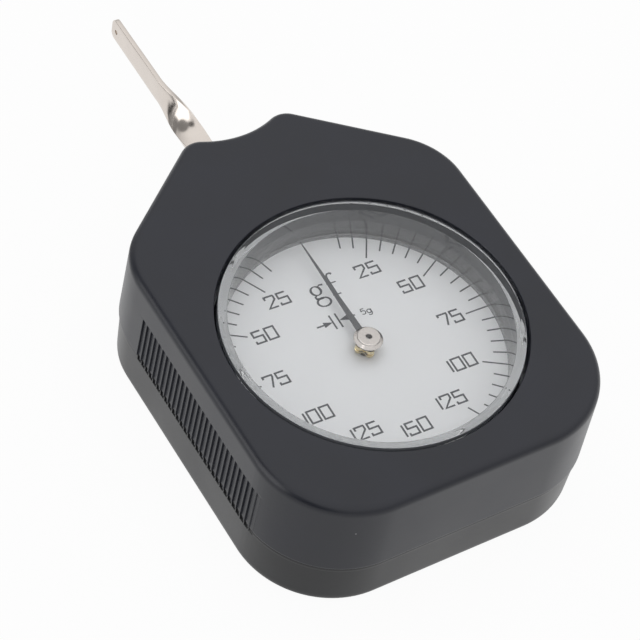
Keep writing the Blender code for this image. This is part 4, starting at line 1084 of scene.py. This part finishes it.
def build_pointer():
    pointer = bpy.context.scene.gauge_pointer
    low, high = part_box("pointer")
    tip, eye, crown = math.hypot(high.x, high.y), -low.y, pointer.crown
    root, end_width = pointer.root_half_width, pointer.tip_half_width
    root_turn = math.acos(root / eye)
    base = math.sin(root_turn) * eye
    outline = []
    start, end = math.pi - root_turn, 2 * math.pi + root_turn
    for i in range(EYE_STEPS + 1):
        turn = start + (end - start) * i / EYE_STEPS
        outline.append((polar(eye, turn), polar(1, turn)))
    for side, steps in ((1, range(1, BLADE_STEPS + 1)), (-1, range(BLADE_STEPS, 0, -1))):
        for up in (i / BLADE_STEPS for i in steps):
            outline.append(((side * (root + (end_width - root) * up), base + (tip - base) * up),
                            (side, SIDE_SLOPE)))
    turn = Matrix.Rotation(pointer.turn, 3, "Z")
    rings = [[turn @ Vector((x - nx * inset, y - ny * inset, height))
              for (x, y), (nx, ny) in outline]
             for inset, height in ((crown, low.z), (0.0, low.z + crown), (0.0, high.z - crown),
                                   (crown * 0.3, high.z - crown * 0.3), (crown, high.z))]
    piece = ring_piece("pointer_blade", rings, smooth=25.0)
    cut_with(piece, upright("bore", pointer.bore, low.z - CUT_OVERRUN, high.z + CUT_OVERRUN,
                            [(0, 0)], 32))
    grey = thin_coat("pointer_grey", pointer.grey, 3500.0, (0.88, 1.14), (0.36, 0.5),
                     (0.08, 0.00001))
    dress(piece, grey, POINTER, "pointer_grey", "pointer")


def build_collet():
    pointer = bpy.context.scene.gauge_pointer
    low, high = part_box("pointer_collet")
    bevel, radius = pointer.collet_edge, high.x + pointer.lobe_grow
    waist = low.z + (high.z - low.z) * pointer.waist
    turns = [2 * math.pi * i / COLLET_STEPS for i in range(COLLET_STEPS)]
    lobed = [radius - pointer.notch
             * abs(math.cos((turn - pointer.lobe_turn) * pointer.lobes / 2)) ** 3
             for turn in turns]
    rings = []
    for inset, height in ((bevel, low.z), (0.0, low.z + bevel), (0.0, waist - bevel),
                          (bevel * 3, waist), (bevel * 3, waist + bevel * 1.5),
                          (bevel * 0.5, waist + bevel * 3), (bevel * 0.5, high.z - bevel),
                          (bevel * 1.5, high.z)):
        rings.append([(*polar(reach - inset, turn), height)
                      for reach, turn in zip(lobed, turns)])
    for height in (high.z, low.z):
        rings.append([(*polar(pointer.bore, turn), height) for turn in turns])
    piece = ring_piece("hub_collet", rings, closed=True, smooth=35.0)
    brass = turned_metal("collet_brass", pointer.brass, 0.16, (0.0, 0.0, 0.0))
    dress(piece, brass, POINTER, "collet_brass", "pointer_collet")


def build_cap():
    """The cap: a raised top with a small eye, on a thin sloping flange."""
    pointer = bpy.context.scene.gauge_pointer
    low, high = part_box("pointer_cap")
    flange, boss, top, eye = high.x, pointer.cap_boss, pointer.cap_top, pointer.cap_eye
    edge, roof = pointer.cap_edge, high.z - pointer.cap_roof
    shelf = high.z - pointer.cap_drop
    foot, rim = shelf - pointer.cap_flange, shelf - pointer.cap_slope
    profile = [(eye + edge, high.z), (top - edge * 2.5, high.z)]
    profile += rounded((top - edge * 1.5, high.z), (top, high.z), (top, high.z - edge * 1.5), 5)
    profile += [(top + edge * 0.5, shelf + edge * 0.5), (top + edge * 1.5, shelf)]
    profile += rounded((flange - edge, rim), (flange, rim - edge * 0.4), (flange, rim - edge), 4)
    profile += [(flange - edge, foot), (boss, foot - edge), (boss, low.z + edge),
                (boss - edge, low.z), (pointer.bore, low.z), (pointer.bore, roof),
                (eye + edge * 3, roof), (eye, high.z - edge)]
    piece = revolve("hub_cap", profile, CAP_STEPS, ring=True, smooth=35.0)
    nickel = plated_metal("cap_nickel", pointer.nickel, 0.1, 0.17)
    dress(piece, nickel, POINTER, "cap_nickel", "pointer_cap")


# Lever

EYE_START = math.radians(8)
EYE_RINGS, NECK_RINGS, TWIST_RINGS, BLADE_RINGS, TIP_RINGS = 24, 16, 48, 8, 8
CORNER_STEPS = 3
FLAT_SHARES = (0.6, 0.2, -0.2, -0.6)


def clamped(value):
    return min(1.0, max(0.0, value))


def eased(value):
    step = clamped(value)
    return step * step * (3 - 2 * step)


class Strip:
    """The lever's shape along its length, measured from its pivot."""

    def __init__(self, end):
        self.lever = bpy.context.scene.gauge_lever
        self.end = end
        self.twist_end = self.lever.twist_start + self.lever.twist_length
        self.eye_end = math.sqrt(self.lever.eye_radius ** 2 - self.lever.half_width ** 2)

    def neck(self, reach):
        lever = self.lever
        return eased((reach - lever.neck_start) / (lever.twist_start - lever.neck_start))

    def turned(self, reach):
        return (reach - self.lever.twist_start) / self.lever.twist_length

    def sway(self, reach):
        step = clamped(self.turned(reach))
        return self.lever.sway * self.neck(reach) * (1 - step * step * step)

    def twist(self, reach):
        return math.pi / 2 * (1 - eased(self.turned(reach)))

    def half_width(self, reach):
        lever = self.lever
        if reach < self.eye_end:
            return math.sqrt(max(0.0, lever.eye_radius ** 2 - reach ** 2))
        if reach < lever.twist_start:
            return lever.half_width + (lever.neck_half_width - lever.half_width) * self.neck(reach)
        if reach < self.twist_end:
            return (lever.neck_half_width
                    + (lever.blade_half_width - lever.neck_half_width) * self.turned(reach))
        step = (reach - self.twist_end) / (self.end - self.twist_end)
        side = lever.blade_half_width + (lever.tip_half_width - lever.blade_half_width) * step
        corner = max(0.0, reach - (self.end - lever.tip_round))
        return side - lever.tip_round + math.sqrt(max(0.0, lever.tip_round ** 2 - corner ** 2))

    def reaches(self):
        """Where the strip's rings stand: eye, neck, twist, blade and rounded tip."""
        lever, body = self.lever, self.end - self.lever.tip_round
        last = math.pi - math.asin(lever.half_width / lever.eye_radius)
        return ([-lever.eye_radius * math.cos(EYE_START + (last - EYE_START) * i / EYE_RINGS)
                 for i in range(EYE_RINGS + 1)]
                + [self.eye_end + (lever.twist_start - self.eye_end) * i / NECK_RINGS
                   for i in range(1, NECK_RINGS)]
                + [lever.twist_start + lever.twist_length * i / TWIST_RINGS
                   for i in range(TWIST_RINGS + 1)]
                + [self.twist_end + (body - self.twist_end) * i / BLADE_RINGS
                   for i in range(1, BLADE_RINGS)]
                + [body + lever.tip_round * math.sin(math.pi / 2 * i / TIP_RINGS)
                   for i in range(TIP_RINGS + 1)])


def strip_section():
    """Points round the strip's section: side, face, and where on a rounded corner, or None."""
    section = []
    for side, face in ((1, 1), (-1, 1), (-1, -1), (1, -1)):
        arc = [(side, face, polar(1, math.pi / 2 * i / CORNER_STEPS))
               for i in range(CORNER_STEPS + 1)]
        section += arc if side * face > 0 else arc[::-1]
        if side * face > 0:
            section += [(side * across, face, None) for across in FLAT_SHARES]
    return section


def build_lever():
    lever = bpy.context.scene.gauge_lever
    low, high, _ = lever_heights()
    middle = (low + high) / 2
    pivot = (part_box("lever_arbor")[0].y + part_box("lever_arbor")[1].y) / 2
    strip = Strip(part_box("lever")[1].y - pivot)
    half, edge = lever.thickness / 2, lever.edge
    section = strip_section()
    rings = []
    for reach in strip.reaches():
        width, sway = strip.half_width(reach), strip.sway(reach)
        turn = strip.twist(reach)
        ring = []
        for across, face, corner in section:
            if corner is None:
                u, t = across * (width - edge), face * half
            else:
                u = across * (width - edge + edge * corner[0])
                t = face * (half - edge + edge * corner[1])
            ring.append((u * math.sin(turn) + t * math.cos(turn) + sway, pivot + reach,
                         middle + u * math.cos(turn) - t * math.sin(turn)))
        rings.append(ring)
    piece = ring_piece("lever_strip", rings)
    low, high = low - CUT_OVERRUN, high + CUT_OVERRUN
    cut_with(piece, upright("bore", lever.eye_bore, low, high, [(0, pivot)]))
    screws = [(0, pivot - lever.screw_reach), (0, pivot + lever.screw_reach)]
    cut_with(piece, upright("bores", lever.screw_bore, low, high, screws, 24))
    hole = upright("hole", lever.hole_radius, -lever.thickness, lever.thickness, [(0, 0)], 24)
    place = (0, pivot + strip.end - lever.hole_inset, middle - lever.hole_drop)
    hole.matrix_world = Matrix.Translation(place) @ Matrix.Rotation(math.pi / 2, 4, "Y")
    cut_with(piece, hole)
    dress(piece, plated_metal("lever_nickel", lever.nickel, 0.1, 0.2), LEVER, "lever_nickel",
          "lever")


# Materials of the CAD pieces that stay

def give(look, *names):
    for name in names:
        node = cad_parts[name]
        if not node.material_slots:
            raise ValueError(name + " has no material slot")
        for slot in node.material_slots:
            slot.link = "OBJECT"
            slot.material = look


def give_turned(kind, base, roughness, names):
    """Gives each piece turned metal of its own, with its rings round the piece's axis."""
    for name in names:
        low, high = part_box(name)
        give(turned_metal(kind + "_" + name, base, roughness, (low + high) / 2), name)


def build_movement():
    move = bpy.context.scene.gauge_movement
    give(stamped_metal("plate_brass", move.plate_brass, 0.32), "front_plate", "rear_plate")
    give(stamped_metal("gear_brass", move.gear_brass, 0.28, (0.05, 1.0, 1.0)), "sector_gear")
    give_turned("brass", move.turned_brass, 0.27,
                ("pillar_1", "pillar_2", "pillar_3", "pillar_4", "pointer_rear_bush",
                 "pointer_front_bush", "lever_rear_bush", "lever_front_bush", "lever_spacer",
                 "spring_collet", "hairspring_collet", "measuring_stud", "hairspring_stud"))
    give_turned("steel", move.pin_steel, 0.22,
                ("lever_arbor", "pointer_arbor", "pinion", "stop_pin_1", "stop_pin_2"))
    give(stamped_metal("spring_steel", move.spring_steel, 0.28, (1.0, 1.0, 0.05)),
         "measuring_spring", "hairspring")


def build_fasteners():
    for kind, number_of in (("case", 4), ("pillar", 4), ("ledge", 3), ("lever", 2)):
        give_turned("steel", bpy.context.scene.gauge_movement.screw_steel, 0.3,
                    [f"{kind}_screw_{i}" for i in range(1, number_of + 1)])


# Stage

FLOOR_CELLS = 12
# Direction towards which gloss rays see the floor with painted shade
DIM_SIDE = (-0.65, -0.76, 0.0)
LAMP_PLACE = (0.05, 0.1, 0.9)
# Painted reflections, patches of the sky that gloss alone sees: direction, cosines of a patch's
# edge and core, brightness
PAINTED_GLOSS_PATCHES = (
    ((-0.97, -0.22, -0.05), 0.55, 0.8, 0.05),
    ((-0.9, 0.26, 0.3), 0.88, 0.92, 1.9),
    ((-0.62, 0.76, 0.1), 0.955, 0.975, 0.27),
    ((-0.56, 0.62, 0.55), 0.945, 0.97, 0.27),
    ((-0.5, 0.31, 0.81), 0.985, 0.995, 0.1),
)
# Painted reflections, dark spots on the floor that gloss alone sees: place, reach of a shade's
# core and edge, darkness
PAINTED_FLOOR_REFLECTIONS = (
    ((-0.2, 0.3), 0.17, 0.2, 0.68),
    ((-0.09, 0.17), 0.05, 0.065, 0.68),
    ((-0.04, 0.106), 0.018, 0.024, 0.68),
    ((-0.024, 0.092), 0.008, 0.013, 0.68),
    ((-0.02, 0.083), 0.004, 0.007, 0.95),
    ((-0.031, 0.085), 0.006, 0.009, 0.97),
    ((-0.045, 0.084), 0.006, 0.01, 0.97),
    ((-0.065, 0.086), 0.006, 0.014, 0.9),
)


def build_floor(stage):
    """A pale floor that camera and gloss rays see as plain white, with painted shade on its dim
    side and painted dark spots for gloss alone.
    """
    half, drop, cells = stage.floor_half, stage.floor_drop, FLOOR_CELLS
    points = [(half * (2 * i / cells - 1), half * (2 * j / cells - 1), -drop)
              for i in range(cells + 1) for j in range(cells + 1)]
    corners = [i * (cells + 1) + j for i in range(cells) for j in range(cells)]
    floor = mesh_piece("floor", points, [[at, at + cells + 1, at + cells + 2, at + 1]
                                         for at in corners])
    look = fresh("floor_white")
    look.finish({"Base Color": look.tone(look.noise(look.place, 3.0, 2.0), stage.floor_colour,
                                         0.99, 1.0),
                 "Roughness": 0.9, "Specular IOR Level": 0.0})
    rays = look.add("ShaderNodeLightPath").outputs
    seen = look.combine("ADD", *(look.combine("MULTIPLY", rays[kind], stage.backdrop)
                                 for kind in ("Is Camera Ray", "Is Transmission Ray")))
    # Painted shade: gloss rays see the floor dimmer towards DIM_SIDE, so reflections of the floor
    # there come out darker
    side = look.vector("DOT_PRODUCT", look.place, DIM_SIDE)["Value"]
    mirrored = look.spread(side, stage.mirrored_floor, stage.dim_floor, stage.dim_start,
                           stage.dim_end)
    gloss = look.combine("MULTIPLY", rays["Is Glossy Ray"], mirrored)
    white = look.add("ShaderNodeEmission").outputs["Emission"]
    plain_floor = look.mix(look.combine("MINIMUM", look.combine("ADD", seen, gloss), 1.0),
                           look.shader.outputs["BSDF"], white)
    # Dark spots painted on the floor for gloss rays alone, as painted reflections in the polished
    # pieces
    dark = 0.0
    for (x, y), core, edge, depth in PAINTED_FLOOR_REFLECTIONS:
        reach = look.vector("DISTANCE", look.place, (x, y, -drop))["Value"]
        dark = look.combine("MAXIMUM", look.spread(reach, depth, 0.0, core, edge), dark)
    black = look.add("ShaderNodeEmission", {"Strength": 0.0}).outputs["Emission"]
    look.show(look.mix(look.combine("MULTIPLY", rays["Is Glossy Ray"], dark), plain_floor,
                       black))
    floor.data.materials.clear()
    floor.data.materials.append(look.look)


def build_world(stage):
    """Even light all round; gloss rays see instead a painted sky, darker near the horizon, with
    painted light and dark patches.
    """
    look = Nodes(bpy.data.worlds.new("studio"))
    bpy.context.scene.world = look.look
    way = look.coordinates["Generated"]
    ramp = look.add("ShaderNodeValToRGB", {"Fac": look.split(way)["Z"]})
    for end, position, bright in zip(ramp.color_ramp.elements, (0.3, 0.75),
                                     (stage.low_sky, 1.0)):
        end.position = position
        end.color = (bright, bright, bright, 1.0)
    seen = ramp.outputs["Color"]
    # Painted highlights and dark patches in the sky that gloss alone sees
    for direction, edge, core, strength in PAINTED_GLOSS_PATCHES:
        toward = look.vector("DOT_PRODUCT", way, Vector(direction).normalized())["Value"]
        patch = look.spread(toward, 0.0, 1.0, edge, core, interpolation_type="SMOOTHSTEP")
        seen = look.blend(patch, seen, (strength,) * 3)
    white, sky, gloss = (look.add("ShaderNodeBackground", feeds).outputs["Background"]
                         for feeds in ({}, {"Strength": stage.sky}, {"Color": seen}))
    rays = look.add("ShaderNodeLightPath").outputs
    straight = look.combine("MAXIMUM", rays["Is Camera Ray"], rays["Is Transmission Ray"])
    look.show(look.mix(straight, look.mix(rays["Is Glossy Ray"], sky, gloss), white))


def build_lamp(stage):
    """The large soft lamp over the gauge, which gloss doesn't show."""
    lamp = bpy.data.lights.new("key_lamp", "AREA")
    lamp.energy, lamp.shape, lamp.size = stage.key_power, "SQUARE", stage.key_size
    holder = bpy.data.objects.new("key_lamp", lamp)
    bpy.context.scene.collection.objects.link(holder)
    holder.visible_glossy = False
    turn = (-Vector(LAMP_PLACE)).to_track_quat("-Z", "Y").to_matrix().to_4x4()
    holder.matrix_world = Matrix.Translation(LAMP_PLACE) @ turn


def build_camera(stage):
    scene = bpy.context.scene
    data = bpy.data.cameras.new("camera")
    camera = bpy.data.objects.new("camera", data)
    scene.collection.objects.link(camera)
    data.lens, data.sensor_width, data.clip_start = stage.focal, 36.0, 0.01
    az, el, roll = stage.azimuth, stage.elevation, stage.roll
    back = Vector((math.sin(az) * math.cos(el), -math.cos(az) * math.cos(el), math.sin(el)))
    right = (-back).cross(Vector((0, 0, 1))).normalized()
    up = right.cross(-back)
    side = right * math.cos(roll) + up * math.sin(roll)
    top = -right * math.sin(roll) + up * math.cos(roll)
    place = Vector(stage.target) + back * stage.distance
    camera.matrix_world = Matrix([(*row, shift) for *row, shift in zip(side, top, back, place)]
                                 + [(0, 0, 0, 1)])
    scene.camera = camera


def build_stage():
    stage = bpy.context.scene.gauge_stage
    for part in (build_floor, build_world, build_lamp, build_camera):
        part(stage)
    bpy.context.scene.view_settings.view_transform = "Standard"


# Operators: one for each piece or group of like pieces

class GAUGE_OT_front_housing(bpy.types.Operator):
    """Build the front shell with its window, rounded edges, grip grooves and posts"""
    bl_idname = "gauge.front_housing"
    bl_label = "Front housing"

    def execute(self, context):
        build_front_housing()
        return {"FINISHED"}


class GAUGE_OT_rear_cover(bpy.types.Operator):
    """Build the rear shell with its screw recesses"""
    bl_idname = "gauge.rear_cover"
    bl_label = "Rear cover"

    def execute(self, context):
        build_rear_cover()
        return {"FINISHED"}


class GAUGE_OT_crystal(bpy.types.Operator):
    """Build the clear cup over the dial"""
    bl_idname = "gauge.crystal"
    bl_label = "Crystal"

    def execute(self, context):
        build_crystal()
        return {"FINISHED"}


class GAUGE_OT_dial(bpy.types.Operator):
    """Build the silver-white dial plate"""
    bl_idname = "gauge.dial"
    bl_label = "Dial plate"

    def execute(self, context):
        build_dial()
        return {"FINISHED"}


class GAUGE_OT_dial_print(bpy.types.Operator):
    """Print the scale's lines, numbers, unit and legend on the dial"""
    bl_idname = "gauge.dial_print"
    bl_label = "Dial print"

    def execute(self, context):
        build_dial_print()
        return {"FINISHED"}


class GAUGE_OT_pointer(bpy.types.Operator):
    """Build the tapered pointer"""
    bl_idname = "gauge.pointer"
    bl_label = "Pointer"

    def execute(self, context):
        build_pointer()
        return {"FINISHED"}


class GAUGE_OT_pointer_hub(bpy.types.Operator):
    """Build the pointer's brass collet and nickel cap"""
    bl_idname = "gauge.pointer_hub"
    bl_label = "Pointer hub"

    def execute(self, context):
        build_collet()
        build_cap()
        return {"FINISHED"}


class GAUGE_OT_lever(bpy.types.Operator):
    """Build the twisted nickel lever"""
    bl_idname = "gauge.lever"
    bl_label = "Lever"

    def execute(self, context):
        build_lever()
        return {"FINISHED"}


class GAUGE_OT_movement(bpy.types.Operator):
    """Finish the movement's plates, pillars, bushes, gears, arbors and springs"""
    bl_idname = "gauge.movement"
    bl_label = "Movement"

    def execute(self, context):
        build_movement()
        return {"FINISHED"}


class GAUGE_OT_fasteners(bpy.types.Operator):
    """Finish the screws of the case and the movement"""
    bl_idname = "gauge.fasteners"
    bl_label = "Screws"

    def execute(self, context):
        build_fasteners()
        return {"FINISHED"}


class GAUGE_OT_stage(bpy.types.Operator):
    """Set the floor, the soft light and the camera"""
    bl_idname = "gauge.stage"
    bl_label = "Stage"

    def execute(self, context):
        build_stage()
        return {"FINISHED"}


OPERATORS = (GAUGE_OT_front_housing, GAUGE_OT_rear_cover, GAUGE_OT_crystal, GAUGE_OT_dial,
             GAUGE_OT_dial_print, GAUGE_OT_pointer, GAUGE_OT_pointer_hub, GAUGE_OT_lever,
             GAUGE_OT_movement, GAUGE_OT_fasteners, GAUGE_OT_stage)
GROUPS = (("gauge_case", GaugeCaseSettings), ("gauge_window", GaugeWindowSettings),
          ("gauge_dial", GaugeDialSettings), ("gauge_pointer", GaugePointerSettings),
          ("gauge_lever", GaugeLeverSettings), ("gauge_movement", GaugeMovementSettings),
          ("gauge_stage", GaugeStageSettings))


class GAUGE_PT_panel(bpy.types.Panel):
    """Lists the gauge's settings and the operators that build it"""
    bl_idname = "GAUGE_PT_panel"
    bl_label = "Dial Tension Gauge"
    bl_space_type = "VIEW_3D"
    bl_region_type = "UI"
    bl_category = "Gauge"

    def draw(self, context):
        for operator in OPERATORS:
            self.layout.operator(operator.bl_idname)
        for name, group in GROUPS:
            box = self.layout.box()
            for setting in group.__annotations__:
                box.prop(getattr(context.scene, name), setting)


def register():
    for name, group in GROUPS:
        bpy.utils.register_class(group)
        setattr(bpy.types.Scene, name, PointerProperty(type=group))
    for operator in OPERATORS:
        bpy.utils.register_class(operator)
    bpy.utils.register_class(GAUGE_PT_panel)


def unregister():
    bpy.utils.unregister_class(GAUGE_PT_panel)
    for operator in reversed(OPERATORS):
        bpy.utils.unregister_class(operator)
    for name, group in reversed(GROUPS):
        delattr(bpy.types.Scene, name)
        bpy.utils.unregister_class(group)


def main():
    register()
    for operator in OPERATORS:
        group, name = operator.bl_idname.split(".")
        getattr(getattr(bpy.ops, group), name)()
    bpy.context.view_layer.update()


if __name__ == "__main__":
    main()
